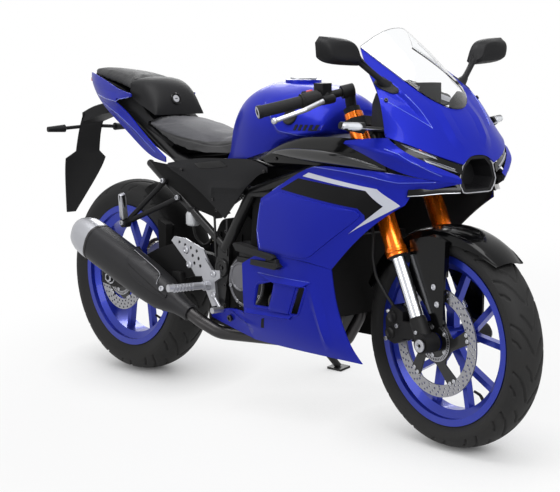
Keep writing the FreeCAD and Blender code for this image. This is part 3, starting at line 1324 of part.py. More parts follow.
def mirror_head_shape(side):
    """A tapered shell: glass side to the rear, rounded side to the front."""
    rear = ((212, 1022), (226, 1012), (338, 1018), (360, 1036), (364, 1072), (350, 1088), (252, 1084), (226, 1062))
    middle = Vector(0, 292, 1052)
    rings = []
    for x, share in ((1222, 1.0), (1236, 1.0), (1258, 0.72)):
        rings.append([at(x, side * (middle.y + (y - middle.y) * share), middle.z + (z - middle.z) * share)
                      for y, z in rear])
    return solid_from_rings(rings)


def front_signals():
    pieces = []
    for side in BOTH:
        tag = "right" if side == RIGHT else "left"
        stalk = rod("front_signal_stalk_" + tag, 6, at(1320, side * 192, 850), at(1276, side * 258, 856))
        lens = cone("front_signal_lens_" + tag, 15, 9, at(1280, side * 248, 855), at(1260, side * 312, 864))
        pieces.append(joined("front_signal_" + tag, [stalk, lens]))
    body = together("front_signals_untrimmed", pieces)
    return cut("front_signals", body, solid_feature("signal_seat", cowl_shape(size("panel_wall") + 40)))


def side_covers():
    return pair_of_skins("side_covers", SIDE_COVER, (600, 0, 680))


def upper_covers():
    return pair_of_skins("upper_covers", UPPER_COVER, (1050, 0, 700))


# ---------------------------------------------------------------------------------------------------------
# Side stand
# ---------------------------------------------------------------------------------------------------------

LEAN = math.radians(size("lean_angle"))
STAND_PIVOT = Vector(size("stand_x"), size("stand_y"), size("stand_z"))


def ground_height(across, rise):
    """Height, in the machine's upright frame, of the ground below a point once the machine leans."""
    return (across * math.sin(LEAN) - rise) / math.cos(LEAN)


def side_stand(rise):
    """A leg that turns about a pin across the machine, with a foot flat on the ground."""
    foot_at = Vector(size("stand_x") + size("stand_forward"), size("stand_reach"), 0)
    foot_at.z = ground_height(foot_at.y, rise)
    up = Vector(0, -math.sin(LEAN), math.cos(LEAN))
    flat = Vector(0, math.cos(LEAN), math.sin(LEAN))
    thickness = size("stand_foot_thickness")
    corner = foot_at - flat * (size("stand_foot_width") / 2) - Vector(size("stand_foot_length") / 2, 0, 0)
    foot = doc.addObject("Part::Box", "stand_foot")
    bind(foot, "Length", "{stand_foot_length}")
    bind(foot, "Width", "{stand_foot_width}")
    bind(foot, "Height", "{stand_foot_thickness}")
    foot.Placement = Placement(corner, Rotation(Vector(1, 0, 0), flat, up, "XYZ"))
    ankle = foot_at + up * thickness
    knee = STAND_PIVOT + Vector(4, 12, -24)
    leg = rod("stand_leg", "{stand_leg_radius}", knee, ankle)
    eye = cylinder("stand_eye", "{stand_pin_radius} + 10", 14, STAND_PIVOT)
    web = rod("stand_web", "{stand_pin_radius} + 1", STAND_PIVOT + Vector(2, 8.5, -10), knee + Vector(0, 3, -4))
    whole = joined("stand_whole", [foot, leg, eye, web])
    hole = cylinder("stand_hole", "{stand_pin_radius} + {stand_clearance}", 40, STAND_PIVOT - Vector(0, 10, 0))
    return cut("side_stand", whole, hole)


def stand_bracket():
    """Plate and pin on the frame that carry the stand."""
    inner = size("swingarm_inner") + size("swingarm_wall") + 0.5 + size("pivot_plate") + size("tyre_seat_gap")
    reach = STAND_PIVOT.y - 2 - inner
    arm = plate("stand_bracket_plate", [(536, 286), (588, 286), (584, 244), (540, 244)], inner, reach, LEFT)
    pin = cylinder("stand_pin", "{stand_pin_radius}", 20, STAND_PIVOT - Vector(0, 3, 0))
    head = cylinder("stand_pin_head", "{stand_pin_radius} + 4", 4, STAND_PIVOT + Vector(0, 16, 0))
    return joined("stand_bracket", [arm, pin, head])


# ---------------------------------------------------------------------------------------------------------
# Assembly
# ---------------------------------------------------------------------------------------------------------

def box_of(things):
    """The smallest upright box round some placed objects."""
    box = FreeCAD.BoundBox()
    for thing in things:
        box.add(thing.Shape.optimalBoundingBox(False))
    return box


def steered():
    """Turn about the steering axis at rest."""
    turn = Rotation(STEER_AXIS, size("steer_rest"))
    return Placement(Vector(0, 0, 0), turn, STEER_FOOT)


def leaned():
    return Placement(Vector(0, 0, 0), Rotation(Vector(1, 0, 0), -size("lean_angle")))


def check_document():
    """Stop on any object that failed, and on any node whose shape is empty or broken."""
    for thing in doc.Objects:
        if "Invalid" in thing.State or "Error" in thing.State:
            raise RuntimeError("failed object: " + thing.Label)


def check_nodes(nodes):
    for node in nodes:
        shape = node.Shape
        if shape.isNull() or not shape.isValid() or not shape.Solids or min(s.Volume for s in shape.Solids) <= 0:
            raise RuntimeError("bad shape: " + node.Label)


def report_joint(name, point, axis, place):
    """Print where a joint lies in the finished part's frame, in metres."""
    at = place.multVec(point) / 1000
    way = place.Rotation.multVec(axis)
    print("joint %s at %.6f %.6f %.6f axis %.6f %.6f %.6f" % (name, at.x, at.y, at.z, way.x, way.y, way.z))


def main():
    steering_nodes = steering() + front_wheel()
    rear_nodes = rear_wheel()
    doc.recompute()
    turn, lean = steered(), leaned()
    for node in steering_nodes:
        node.Placement = lean * turn * node.Placement
    for node in rear_nodes:
        node.Placement = lean * node.Placement
    tyres = [node for node in steering_nodes + rear_nodes if node.Label.endswith("_tyre")]
    rise = -min(box_of([rubber]).ZMin for rubber in tyres)

    chassis_nodes = [
        main_frame(), engine(), radiator(), exhaust_pipe(), muffler(), swingarm(), shock(), chain(),
        rear_mudguard(), rear_caliper(), footrests(), passenger_footrests(), stand_bracket(), fuel_tank(),
        rider_seat(), pillion_seat(), seat_hump(), tail_core(), tail_wings(), tail_light(), plate_bracket(),
        rear_signals(), side_covers(), upper_covers(), side_fairings(), belly_fairings(), front_cowl(),
        headlights(), windscreen(), nose_duct(), inner_fairing(), mirrors(), front_signals(), fuel_lid(),
        side_stand(rise),
    ]
    doc.recompute()
    for node in chassis_nodes:
        node.Placement = lean * node.Placement
    nodes = steering_nodes + rear_nodes + chassis_nodes
    box = box_of(nodes)
    shift = Placement(Vector(-(box.XMin + box.XMax) / 2, -(box.YMin + box.YMax) / 2, rise), Rotation())
    for node in nodes:
        node.Placement = shift * node.Placement
    doc.recompute()
    check_document()
    check_nodes(nodes)

    upright = shift * lean
    turned_too = upright * turn
    report_joint("steering", STEER_FOOT + STEER_AXIS * size("lower_clamp_level"), STEER_AXIS, upright)
    report_joint("front_wheel_spin", FRONT_AXLE, Vector(0, 1, 0), turned_too)
    report_joint("rear_wheel_spin", REAR_AXLE, Vector(0, 1, 0), upright)
    report_joint("side_stand_swing", STAND_PIVOT, Vector(0, 1, 0), upright)
    report_joint("fuel_lid_hinge", lid_hinge(), Vector(0, 1, 0), upright)
    report_joint("frame_origin", Vector(0, 0, 0), Vector(1, 0, 0), upright)
    box = box_of(nodes)
    print("size %.1f x %.1f x %.1f" % (box.XLength, box.YLength, box.ZLength))

    os.makedirs(PARTS_FOLDER, exist_ok=True)
    for node in nodes:
        node.Shape.exportStep(os.path.join(PARTS_FOLDER, node.Label + ".step"))
    print("nodes", len(nodes))


main()
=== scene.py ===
import json
import math

import bmesh
import bpy
import numpy as np
from mathutils import Matrix, Vector
from mathutils.bvhtree import BVHTree


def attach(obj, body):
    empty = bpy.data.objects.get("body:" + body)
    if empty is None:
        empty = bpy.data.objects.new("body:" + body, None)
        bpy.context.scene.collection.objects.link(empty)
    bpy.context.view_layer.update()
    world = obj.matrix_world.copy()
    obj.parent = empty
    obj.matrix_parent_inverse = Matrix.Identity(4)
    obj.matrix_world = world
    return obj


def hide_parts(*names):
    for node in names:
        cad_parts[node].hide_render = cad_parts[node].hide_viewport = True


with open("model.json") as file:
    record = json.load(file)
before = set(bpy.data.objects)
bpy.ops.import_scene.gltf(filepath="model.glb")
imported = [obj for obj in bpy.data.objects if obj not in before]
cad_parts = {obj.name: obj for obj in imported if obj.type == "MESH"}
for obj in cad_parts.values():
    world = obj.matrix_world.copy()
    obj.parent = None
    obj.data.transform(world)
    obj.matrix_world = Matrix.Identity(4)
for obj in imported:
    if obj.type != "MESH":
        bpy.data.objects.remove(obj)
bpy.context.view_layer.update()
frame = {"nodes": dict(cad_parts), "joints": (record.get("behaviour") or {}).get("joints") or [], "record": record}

# ---------------------------------------------------------------------------------------------------------
# Places. Shapes are drawn in millimetres on the upright machine: x ahead of the rear axle, y to the rider's
# left, z above the ground. MACHINE and FORK carry them to the leaning machine and its turned steering.
# ---------------------------------------------------------------------------------------------------------

RIGHT, LEFT = -1, 1
BOTH = (RIGHT, LEFT)
REAR_RADIUS, FRONT_RADIUS, WHEELBASE = 314.0, 293.0, 1380.0
RAKE, FORK_OFFSET = math.radians(25), 37.728
JOINTS = {joint["name"]: joint for joint in frame["joints"]}
SLOTS = {part["node"]: part["material_slot"] for part in frame["record"]["subparts"]}
BODY_OF = {node: body for body, nodes in frame["record"]["behaviour"]["bodies"].items() for node in nodes}


def joint_line(name):
    return Vector(JOINTS[name]["pos_m"]), Vector(JOINTS[name]["axis"]).normalized()


REAR_HUB, ACROSS = joint_line("rear_wheel_spin")
FRONT_ACROSS = joint_line("front_wheel_spin")[1]
STEER_POINT, STEER_AXIS = joint_line("steering_turn")
AHEAD = Vector((1, 0, 0))
UPRIGHT = AHEAD.cross(ACROSS)
MILLIMETRES = Matrix.Scale(0.001, 4)


def carried(origin, ahead, across, upright):
    turn = Matrix((ahead, across, upright)).transposed().to_4x4()
    return Matrix.Translation(origin) @ turn @ MILLIMETRES


MACHINE = carried(REAR_HUB - UPRIGHT * REAR_RADIUS * 0.001, AHEAD, ACROSS, UPRIGHT)
STEER_TURN = math.atan2(STEER_AXIS.dot(ACROSS.cross(FRONT_ACROSS)), ACROSS.dot(FRONT_ACROSS))
FORK = (Matrix.Translation(STEER_POINT) @ Matrix.Rotation(STEER_TURN, 4, STEER_AXIS)
        @ Matrix.Translation(-STEER_POINT) @ MACHINE)
FRONT_WHEEL = FORK @ Matrix.Translation((WHEELBASE, 0, FRONT_RADIUS))
REAR_WHEEL = MACHINE @ Matrix.Translation((0, 0, REAR_RADIUS))
FACE_ON = Matrix(((1, 0, 0, 0), (0, 0, -1, 0), (0, 1, 0, 0), (0, 0, 0, 1)))
TO_MACHINE = MACHINE.inverted()
TRAIL = (FRONT_RADIUS * math.sin(RAKE) - FORK_OFFSET) / math.cos(RAKE)
FORK_UP = Vector((-math.sin(RAKE), 0, math.cos(RAKE)))


def fork_point(ahead, across, level):
    """A point by its distance ahead of the steering axis, across, and up along that axis."""
    foot = Vector((WHEELBASE + TRAIL, 0, 0))
    return (foot + Vector((math.cos(RAKE), 0, math.sin(RAKE))) * ahead + Vector((0, across, 0))
            + FORK_UP * level)


def carried_spot(place, point, facing, width):
    """A fastener's point, facing and width, carried from where it is drawn."""
    return place @ Vector(point), (place.to_3x3() @ Vector(facing)).normalized(), width


# ---------------------------------------------------------------------------------------------------------
# Finishes
# ---------------------------------------------------------------------------------------------------------


def colour(red, green, blue):
    """A colour from its written 0 to 255 values."""
    def linear(value):
        value /= 255
        return value / 12.92 if value <= 0.04045 else ((value + 0.055) / 1.055) ** 2.4
    return (linear(red), linear(green), linear(blue), 1.0)


def put(tree, kind, inputs=None, **settings):
    """Adds a shader node; an input is a plain value or the socket that feeds it."""
    made = tree.nodes.new(kind)
    for key, value in settings.items():
        setattr(made, key, value)
    for key, value in (inputs or {}).items():
        if isinstance(value, bpy.types.NodeSocket):
            tree.links.new(value, made.inputs[key])
        else:
            made.inputs[key].default_value = value
    return made


def effect(name, inputs, outputs):
    """An empty shader group with named inputs and outputs."""
    group = bpy.data.node_groups.new(name, "ShaderNodeTree")
    for label, kind, value in inputs:
        socket = group.interface.new_socket(label, in_out="INPUT", socket_type="NodeSocket" + kind)
        socket.default_value = value
    for label, kind in outputs:
        group.interface.new_socket(label, in_out="OUTPUT", socket_type="NodeSocket" + kind)
    return group, group.nodes.new("NodeGroupInput").outputs, group.nodes.new("NodeGroupOutput").inputs


def weathering():
    """Uneven tone and gloss, with a dusty tint towards the ground."""
    group, given, made = effect(
        "weathering",
        (("Colour", "Color", (0.5, 0.5, 0.5, 1)), ("Dust", "Color", (0.2, 0.18, 0.15, 1)),
         ("Scale", "Float", 9.0), ("Mottle", "Float", 0.1), ("Roughness", "Float", 0.4),
         ("Spread", "Float", 0.1), ("Dust share", "Float", 0.0)),
        (("Colour", "Color"), ("Roughness", "Float")))
    place = put(group, "ShaderNodeTexCoord").outputs["Object"]
    clouds = put(group, "ShaderNodeTexNoise", {"Vector": place, "Scale": given["Scale"], "Detail": 5.0,
                                               "Roughness": 0.6}).outputs["Fac"]
    centred = put(group, "ShaderNodeMath", {0: clouds, 1: 0.5}, operation="SUBTRACT").outputs[0]
    tone = put(group, "ShaderNodeMath", {0: centred, 1: given["Mottle"], 2: 1.0},
               operation="MULTIPLY_ADD").outputs[0]
    toned = put(group, "ShaderNodeVectorMath", {0: given["Colour"], "Scale": tone},
                operation="SCALE").outputs[0]
    height = put(group, "ShaderNodeSeparateXYZ", {"Vector": place}).outputs["Z"]
    low = put(group, "ShaderNodeMapRange", {"Value": height, "From Min": 0.75, "From Max": 0.02}).outputs[0]
    settled = put(group, "ShaderNodeMath", {0: low, 1: clouds}, operation="MULTIPLY").outputs[0]
    share = put(group, "ShaderNodeMath", {0: settled, 1: given["Dust share"]},
                operation="MULTIPLY").outputs[0]
    mixed = put(group, "ShaderNodeMix", {0: share, 6: toned, 7: given["Dust"]}, data_type="RGBA").outputs[2]
    group.links.new(mixed, made["Colour"])
    spread = put(group, "ShaderNodeMath", {0: centred, 1: given["Spread"], 2: given["Roughness"]},
                 operation="MULTIPLY_ADD", use_clamp=True).outputs[0]
    group.links.new(spread, made["Roughness"])
    return group


def grain():
    """Height of a fine moulded or leather grain."""
    group, given, made = effect("grain", (("Scale", "Float", 900.0), ("Cells", "Float", 0.5)),
                                (("Height", "Float"),))
    place = put(group, "ShaderNodeTexCoord").outputs["Object"]
    cells = put(group, "ShaderNodeTexVoronoi", {"Vector": place, "Scale": given["Scale"]}).outputs["Distance"]
    fuzz = put(group, "ShaderNodeTexNoise",
               {"Vector": place, "Scale": given["Scale"], "Detail": 2.0}).outputs["Fac"]
    both = put(group, "ShaderNodeMix", {"Factor": given["Cells"], "A": fuzz, "B": cells}).outputs[0]
    group.links.new(both, made["Height"])
    return group


def brushing():
    """Fine scratches drawn out along one direction."""
    group, given, made = effect("brushing", (("Scale", "Float", 60.0), ("Stretch", "Vector", (1, 1, 14))),
                                (("Height", "Float"),))
    place = put(group, "ShaderNodeTexCoord").outputs["Object"]
    drawn = put(group, "ShaderNodeVectorMath", {0: place, 1: given["Stretch"]},
                operation="MULTIPLY").outputs[0]
    lines = put(group, "ShaderNodeTexNoise",
                {"Vector": drawn, "Scale": given["Scale"], "Detail": 4.0}).outputs["Fac"]
    group.links.new(lines, made["Height"])
    return group


WEATHERING, GRAIN, BRUSHING = weathering(), grain(), brushing()
DUST = colour(146, 142, 135)


def finish(name, base, rough, metal=0.0, coat=0.0, mottle=0.12, spread=0.12, scale=9.0, dust=0.0, bump=None,
           **shader):
    """A material with worn colour and gloss; a bump is (group, settings, strength, depth)."""
    material = bpy.data.materials.new(name)
    material.use_nodes = True
    tree = material.node_tree
    inputs = tree.nodes["Principled BSDF"].inputs
    worn = put(tree, "ShaderNodeGroup", node_tree=WEATHERING)
    for key, value in (("Colour", colour(*base)), ("Dust", DUST), ("Scale", scale), ("Mottle", mottle),
                       ("Roughness", rough), ("Spread", spread), ("Dust share", dust)):
        worn.inputs[key].default_value = value
    tree.links.new(worn.outputs["Colour"], inputs["Base Color"])
    tree.links.new(worn.outputs["Roughness"], inputs["Roughness"])
    inputs["Metallic"].default_value = metal
    inputs["Coat Weight"].default_value = coat
    inputs["Coat Roughness"].default_value = 0.03
    for key, value in shader.items():
        inputs[key.replace("_", " ").title().replace("Ior", "IOR")].default_value = value
    if bump:
        group, settings, strength, depth = bump
        source = put(tree, "ShaderNodeGroup", node_tree=group)
        for key, value in settings.items():
            source.inputs[key].default_value = value
        relief = put(tree, "ShaderNodeBump", {"Height": source.outputs["Height"], "Strength": strength,
                                              "Distance": depth})
        tree.links.new(relief.outputs["Normal"], inputs["Normal"])
    return material


def moulded(scale=1400.0, cells=0.6, strength=0.25, depth=0.0004):
    return (GRAIN, {"Scale": scale, "Cells": cells}, strength, depth)


def brushed(stretch, scale=60.0, strength=0.12, depth=0.0003):
    return (BRUSHING, {"Scale": scale, "Stretch": stretch}, strength, depth)


LOOKS = {
    "blue_paint": dict(base=(26, 36, 160), rough=0.34, metal=0.25, coat=0.1, mottle=0.06, spread=0.05,
                       scale=3.0, bump=moulded(240.0, 0.0, 0.02, 0.0006), specular_ior_level=0.04),
    "wheel_blue": dict(base=(26, 48, 168), rough=0.3, metal=0.5, coat=0.3, dust=0.14, mottle=0.08,
                       specular_ior_level=0.2),
    "gloss_black": dict(base=(5, 5, 6), rough=0.18, coat=0.18, mottle=0.2,
                        bump=moulded(240.0, 0.0, 0.02, 0.0006), specular_ior_level=0.1),
    "band_black": dict(base=(11, 11, 13), rough=0.34, coat=0.08, mottle=0.1, specular_ior_level=0.06),
    "satin_black": dict(base=(15, 15, 17), rough=0.55, dust=0.04, bump=moulded(), specular_ior_level=0.2),
    "matt_black": dict(base=(13, 13, 14), rough=0.72, dust=0.05, bump=moulded(900.0, 0.5, 0.35),
                       specular_ior_level=0.15),
    "cover_black": dict(base=(23, 23, 25), rough=0.6, dust=0.03, bump=moulded(1100.0, 0.7, 0.4),
                        specular_ior_level=0.15),
    "frame_black": dict(base=(15, 15, 17), rough=0.42, coat=0.2, dust=0.06, bump=moulded(600.0, 0.1, 0.12),
                        specular_ior_level=0.2),
    "engine_grey": dict(base=(24, 24, 27), rough=0.55, metal=0.3, dust=0.06, mottle=0.3,
                        bump=moulded(500.0, 0.2, 0.3), specular_ior_level=0.35),
    "cover_grey": dict(base=(112, 112, 117), rough=0.42, metal=0.6, dust=0.06,
                       bump=moulded(700.0, 0.2, 0.15)),
    "silver": dict(base=(176, 177, 182), rough=0.34, metal=0.85, mottle=0.1, dust=0.05,
                   bump=moulded(800.0, 0.2, 0.1)),
    "steel": dict(base=(158, 158, 162), rough=0.3, metal=1.0, mottle=0.2, dust=0.06,
                  bump=brushed((1, 10, 1), 90.0)),
    "dark_steel": dict(base=(58, 57, 58), rough=0.38, metal=0.9, mottle=0.35, dust=0.08,
                       bump=brushed((10, 1, 10), 60.0)),
    "disc_steel": dict(base=(150, 150, 154), rough=0.3, metal=1.0, mottle=0.15,
                       bump=brushed((24, 1, 24), 40.0, 0.2)),
    "chrome": dict(base=(205, 207, 212), rough=0.2, metal=1.0, mottle=0.02, spread=0.02, scale=20.0),
    "gold": dict(base=(232, 112, 6), rough=0.24, metal=0.8, coat=0.3, mottle=0.08, spread=0.06,
                 bump=brushed((1, 1, 12), 50.0, 0.05)),
    "tyre_rubber": dict(base=(17, 17, 18), rough=0.74, mottle=0.25, dust=0.06,
                        bump=moulded(700.0, 0.3, 0.3), specular_ior_level=0.35),
    "grip_rubber": dict(base=(14, 14, 15), rough=0.7, bump=moulded(1100.0, 0.9, 0.5),
                        specular_ior_level=0.3),
    "hose_rubber": dict(base=(10, 10, 11), rough=0.5, bump=brushed((1, 1, 3), 300.0),
                        specular_ior_level=0.35),
    # The rider seat's black cover, painted grey on top: a painted reflection of the light from above
    "seat_grey": dict(base=(62, 62, 66), rough=0.66, mottle=0.1, bump=moulded(420.0, 0.85, 0.6, 0.0007),
                      sheen_weight=0.1, specular_ior_level=0.3),
    "seat_black": dict(base=(17, 17, 19), rough=0.6, mottle=0.12, bump=moulded(420.0, 0.85, 0.5, 0.0006),
                       sheen_weight=0.08, specular_ior_level=0.35),
    "muffler_black": dict(base=(29, 29, 32), rough=0.48, metal=0.3, dust=0.05,
                          bump=moulded(900.0, 0.2, 0.15), specular_ior_level=0.35),
    "red_plastic": dict(base=(190, 16, 14), rough=0.35, coat=0.4),
    "white_stripe": dict(base=(200, 203, 214), rough=0.3, coat=0.6, mottle=0.04),
    "lamp_grey": dict(base=(120, 122, 128), rough=0.35, metal=0.4, coat=0.2),
    "lens_white": dict(base=(206, 209, 214), rough=0.16, coat=0.8, mottle=0.06),
    "bottle_white": dict(base=(190, 192, 194), rough=0.35, coat=0.3, mottle=0.1),
    "crescent_black": dict(base=(13, 13, 15), rough=0.24, coat=0.5, mottle=0.1, specular_ior_level=0.3),
    # Beads along the panel edges: a lighter blue than the paint, a painted highlight besides their gloss
    "edge_blue": dict(base=(52, 76, 198), rough=0.18, coat=0.9, mottle=0.05),
    "smoked": dict(base=(6, 6, 7), rough=0.22, coat=0.25, mottle=0.1, specular_ior_level=0.1),
    "screen_edge": dict(base=(84, 87, 92), rough=0.3),
    "chain_steel": dict(base=(104, 98, 88), rough=0.36, metal=1.0, mottle=0.4, scale=60.0),
    "carrier_black": dict(base=(14, 14, 15), rough=0.35, metal=0.3, coat=0.2),
    "mirror_glass": dict(base=(225, 228, 232), rough=0.02, metal=1.0, mottle=0.01, spread=0.01),
}
FINISH = {name: finish(name, **look) for name, look in LOOKS.items()}


def clear(name, base, rough, ior=1.46):
    """Tinted glass or clear plastic."""
    made = finish(name, base, rough, mottle=0.03, spread=0.02, scale=4.0, transmission_weight=1.0)
    made.node_tree.nodes["Principled BSDF"].inputs["IOR"].default_value = ior
    return made


FINISH["screen"] = clear("screen", (252, 253, 254), 0.0, 1.3)
FINISH["signal_lens"] = clear("signal_lens", (236, 238, 240), 0.12)
FINISH["tail_lens"] = clear("tail_lens", (200, 20, 18), 0.10)

# ---------------------------------------------------------------------------------------------------------
# Shape making
# ---------------------------------------------------------------------------------------------------------


def linked(name, data):
    """An object in the scene, from its data."""
    made = bpy.data.objects.new(name, data)
    bpy.context.scene.collection.objects.link(made)
    return made


def placed_mesh(name, bm, place):
    """A mesh object at the origin, from shapes drawn in millimetres."""
    mesh = bpy.data.meshes.new(name)
    bm.transform(place)
    bm.to_mesh(mesh)
    bm.free()
    return linked(name, mesh)


def baked(obj):
    """Applies what modifies the object, so that it is a plain mesh."""
    bpy.context.view_layer.update()
    graph = bpy.context.evaluated_depsgraph_get()
    mesh = bpy.data.meshes.new_from_object(obj.evaluated_get(graph), depsgraph=graph)
    old = obj.name
    plain = linked(old + "_plain", mesh)
    bpy.data.objects.remove(obj)
    plain.name = mesh.name = old
    return plain


def shaded(obj, angle=32):
    """Smooth shading that keeps the edges sharper than an angle."""
    mesh = obj.data
    mesh.shade_smooth()
    mesh.set_sharp_from_angle(angle=math.radians(angle))
    return obj


def dressed(obj, finish_name, body, *nodes, slot=None):
    """Gives a finished piece its material and its body, and hides the nodes that it stands for."""
    obj.data.materials.clear()
    obj.data.materials.append(FINISH[finish_name])
    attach(obj, body)
    if nodes:
        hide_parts(*nodes)
    return obj


def bevelled(obj, width):
    """Rounds the sharp edges of an object; the width is in millimetres."""
    edge = obj.modifiers.new("edges", "BEVEL")
    edge.width, edge.segments, edge.limit_method = width * 0.001, 2, "ANGLE"
    edge.angle_limit = math.radians(50)
    edge.harden_normals = False
    return baked(obj)


def add_lathe(bm, profile, segments):
    """Turns a closed profile of (across, radius) about the y axis; radius 0 closes on the axis."""
    rings = []
    for across, radius in profile:
        if radius < 1e-6:
            rings.append([bm.verts.new((0, across, 0))])
            continue
        rings.append([bm.verts.new((radius * math.cos(a), across, radius * math.sin(a)))
                      for a in (2 * math.pi * k / segments for k in range(segments))])
    closed = len(rings[0]) > 1 and len(rings[-1]) > 1
    for near, far in zip(rings, rings[1:] + ([rings[0]] if closed else [])):
        for k in range(segments):
            n = (k + 1) % segments
            corners = [near[k % len(near)], near[n % len(near)], far[n % len(far)], far[k % len(far)]]
            corners = list(dict.fromkeys(corners))
            if len(corners) > 2:
                bm.faces.new(corners)
    return bm


def tidy(bm, gap=0.0):
    """Turns all faces outwards, after joining corners that lie within a gap of each other."""
    if gap:
        bmesh.ops.remove_doubles(bm, verts=bm.verts, dist=gap)
    bmesh.ops.recalc_face_normals(bm, faces=bm.faces)
    return bm


def add_tube(bm, points, radius, sides):
    """A round tube along points; the radius may be a list, one for each point."""
    points = [Vector(p) for p in points]
    radii = radius if isinstance(radius, (list, tuple)) else [radius] * len(points)
    way = (points[1] - points[0]).normalized()
    beside = way.orthogonal().normalized()
    rings = []
    for i, point in enumerate(points):
        ahead = (points[min(i + 1, len(points) - 1)] - points[max(i - 1, 0)]).normalized()
        beside = (beside - ahead * beside.dot(ahead)).normalized()
        up = ahead.cross(beside)
        rings.append([bm.verts.new(point + (beside * math.cos(a) + up * math.sin(a)) * radii[i])
                      for a in (2 * math.pi * k / sides for k in range(sides))])
    for near, far in zip(rings, rings[1:]):
        for k in range(sides):
            bm.faces.new((near[k], near[(k + 1) % sides], far[(k + 1) % sides], far[k]))
    bm.faces.new(list(reversed(rings[0])))
    bm.faces.new(rings[-1])
    return bm


def smooth_path(points, steps):
    """Points along a Catmull-Rom line through the given ones."""
    points = [Vector(p) for p in points]
    line = []
    for i in range(len(points) - 1):
        a, b, c, d = (points[max(i - 1, 0)], points[i], points[i + 1], points[min(i + 2, len(points) - 1)])
        for k in range(steps):
            t = k / steps
            line.append(0.5 * ((2 * b) + (c - a) * t + (2 * a - 5 * b + 4 * c - d) * t * t
                               + (3 * b - a - 3 * c + d) * t * t * t))
    return line + [points[-1]]


def add_loft(bm, rings):
    """A closed skin over rings of as many points each."""
    made = [[bm.verts.new(p) for p in ring] for ring in rings]
    count = len(made[0])
    for near, far in zip(made, made[1:]):
        for k in range(count):
            bm.faces.new((near[k], near[(k + 1) % count], far[(k + 1) % count], far[k]))
    bm.faces.new(list(reversed(made[0])))
    bm.faces.new(made[-1])
    return bm


def skin(rings):
    return tidy(add_loft(bmesh.new(), rings))


def board(name, outline, holes, thickness, depth, place, edge):
    """A flat plate in the wheel's plane: outline and holes are loops of (x, z), depth is its middle's y."""
    curve = bpy.data.curves.new(name, "CURVE")
    curve.dimensions, curve.fill_mode = "2D", "BOTH"
    for loop in (outline, *holes):
        spline = curve.splines.new("POLY")
        spline.points.add(len(loop) - 1)
        for point, (x, z) in zip(spline.points, loop):
            point.co = (x, z, 0, 1)
        spline.use_cyclic_u = True
    curve.extrude, curve.bevel_depth, curve.bevel_resolution = thickness / 2 - edge, edge, 1
    curve.offset = -edge
    made = baked(linked(name, curve))
    made.data.transform(place @ Matrix.Translation((0, depth, 0)) @ FACE_ON)
    return shaded(made, 30)


def circle(radius, count, centre=(0, 0)):
    return [(centre[0] + radius * math.cos(a), centre[1] + radius * math.sin(a))
            for a in (2 * math.pi * k / count for k in range(count))]


def rounded(outline, radius, steps=4):
    """The outline with its corners rounded, as far as its sides allow."""
    made = []
    for i, corner in enumerate(outline):
        corner = Vector(corner)
        before, after = Vector(outline[i - 1]) - corner, Vector(outline[(i + 1) % len(outline)]) - corner
        reach = min(radius, before.length * 0.45, after.length * 0.45)
        first, last = corner + before.normalized() * reach, corner + after.normalized() * reach
        for k in range(steps + 1):
            t = k / steps
            made.append(tuple(first * (1 - t) ** 2 + corner * 2 * t * (1 - t) + last * t * t))
    return made


def merged_copy(node, name):
    """A copy of a CAD node as one connected mesh, its triangles paired where they lie nearly flat."""
    bm = bmesh.new()
    bm.from_mesh(frame["nodes"][node].data)
    bmesh.ops.remove_doubles(bm, verts=bm.verts, dist=2e-5)
    bmesh.ops.join_triangles(bm, faces=bm.faces, angle_face_threshold=math.radians(40),
                             angle_shape_threshold=math.radians(60))
    return placed_mesh(name, bm, Matrix.Identity(4))


# Where two sharp edges meet at more than this angle, the corner between them stays
KEPT_CORNER = math.radians(42)


def rounded_copy(node, name, crease, levels):
    """A CAD panel with its faces drawn smooth; edges sharper than the crease angle stay."""
    made = merged_copy(node, name)
    bm = bmesh.new()
    bm.from_mesh(made.data)
    edge_crease = bm.edges.layers.float.new("crease_edge")
    vert_crease = bm.verts.layers.float.new("crease_vert")
    for edge in bm.edges:
        if len(edge.link_faces) != 2 or edge.calc_face_angle(0) > math.radians(crease):
            edge[edge_crease] = 1.0
    for vert in bm.verts:
        sharp = [edge for edge in vert.link_edges if edge[edge_crease] > 0.5]
        if len(sharp) > 2:
            vert[vert_crease] = 1.0
        elif len(sharp) == 2:
            ways = [(edge.other_vert(vert).co - vert.co).normalized() for edge in sharp]
            if ways[0].angle(-ways[1], 0) > KEPT_CORNER:
                vert[vert_crease] = 1.0
    bm.to_mesh(made.data)
    bm.free()
    smooth = made.modifiers.new("surface", "SUBSURF")
    smooth.levels = smooth.render_levels = levels
    return shaded(baked(made), 36)


def surface(obj, place=MACHINE):
    """What rays can be cast on, in millimetres on the machine or where a place draws it."""
    back = place.inverted()
    return BVHTree.FromPolygons([back @ v.co for v in obj.data.vertices],
                                [list(p.vertices) for p in obj.data.polygons])


# Drawing planes: first axis, second axis, axis of sight. Then how far out along the axis of sight a ray starts,
# and where the nearest place is looked for when the ray misses.
PLANES = {"side": (0, 2, 1), "end": (1, 2, 0)}
RAY_START = {"side": 700.0, "end": 1800.0}
NEAR_START = {"side": 200.0, "end": 1440.0}


def touch(tree, plane, sign, u, v):
    """Point and normal where a line of sight meets a surface."""
    first, second, sight = PLANES[plane]
    start, way = Vector((0, 0, 0)), Vector((0, 0, 0))
    start[first], start[second], way[sight] = u, v, -sign
    start[sight] = sign * RAY_START[plane]
    point, normal, _, _ = tree.ray_cast(start, way)
    if point is None:
        start[sight] = sign * NEAR_START[plane]
        point, normal, _, _ = tree.find_nearest(start)
    if normal[sight] * sign < 0:
        normal = -normal
    return point, normal


# ---------------------------------------------------------------------------------------------------------
# What repeats: scattered fasteners and links, by Geometry Nodes
# ---------------------------------------------------------------------------------------------------------


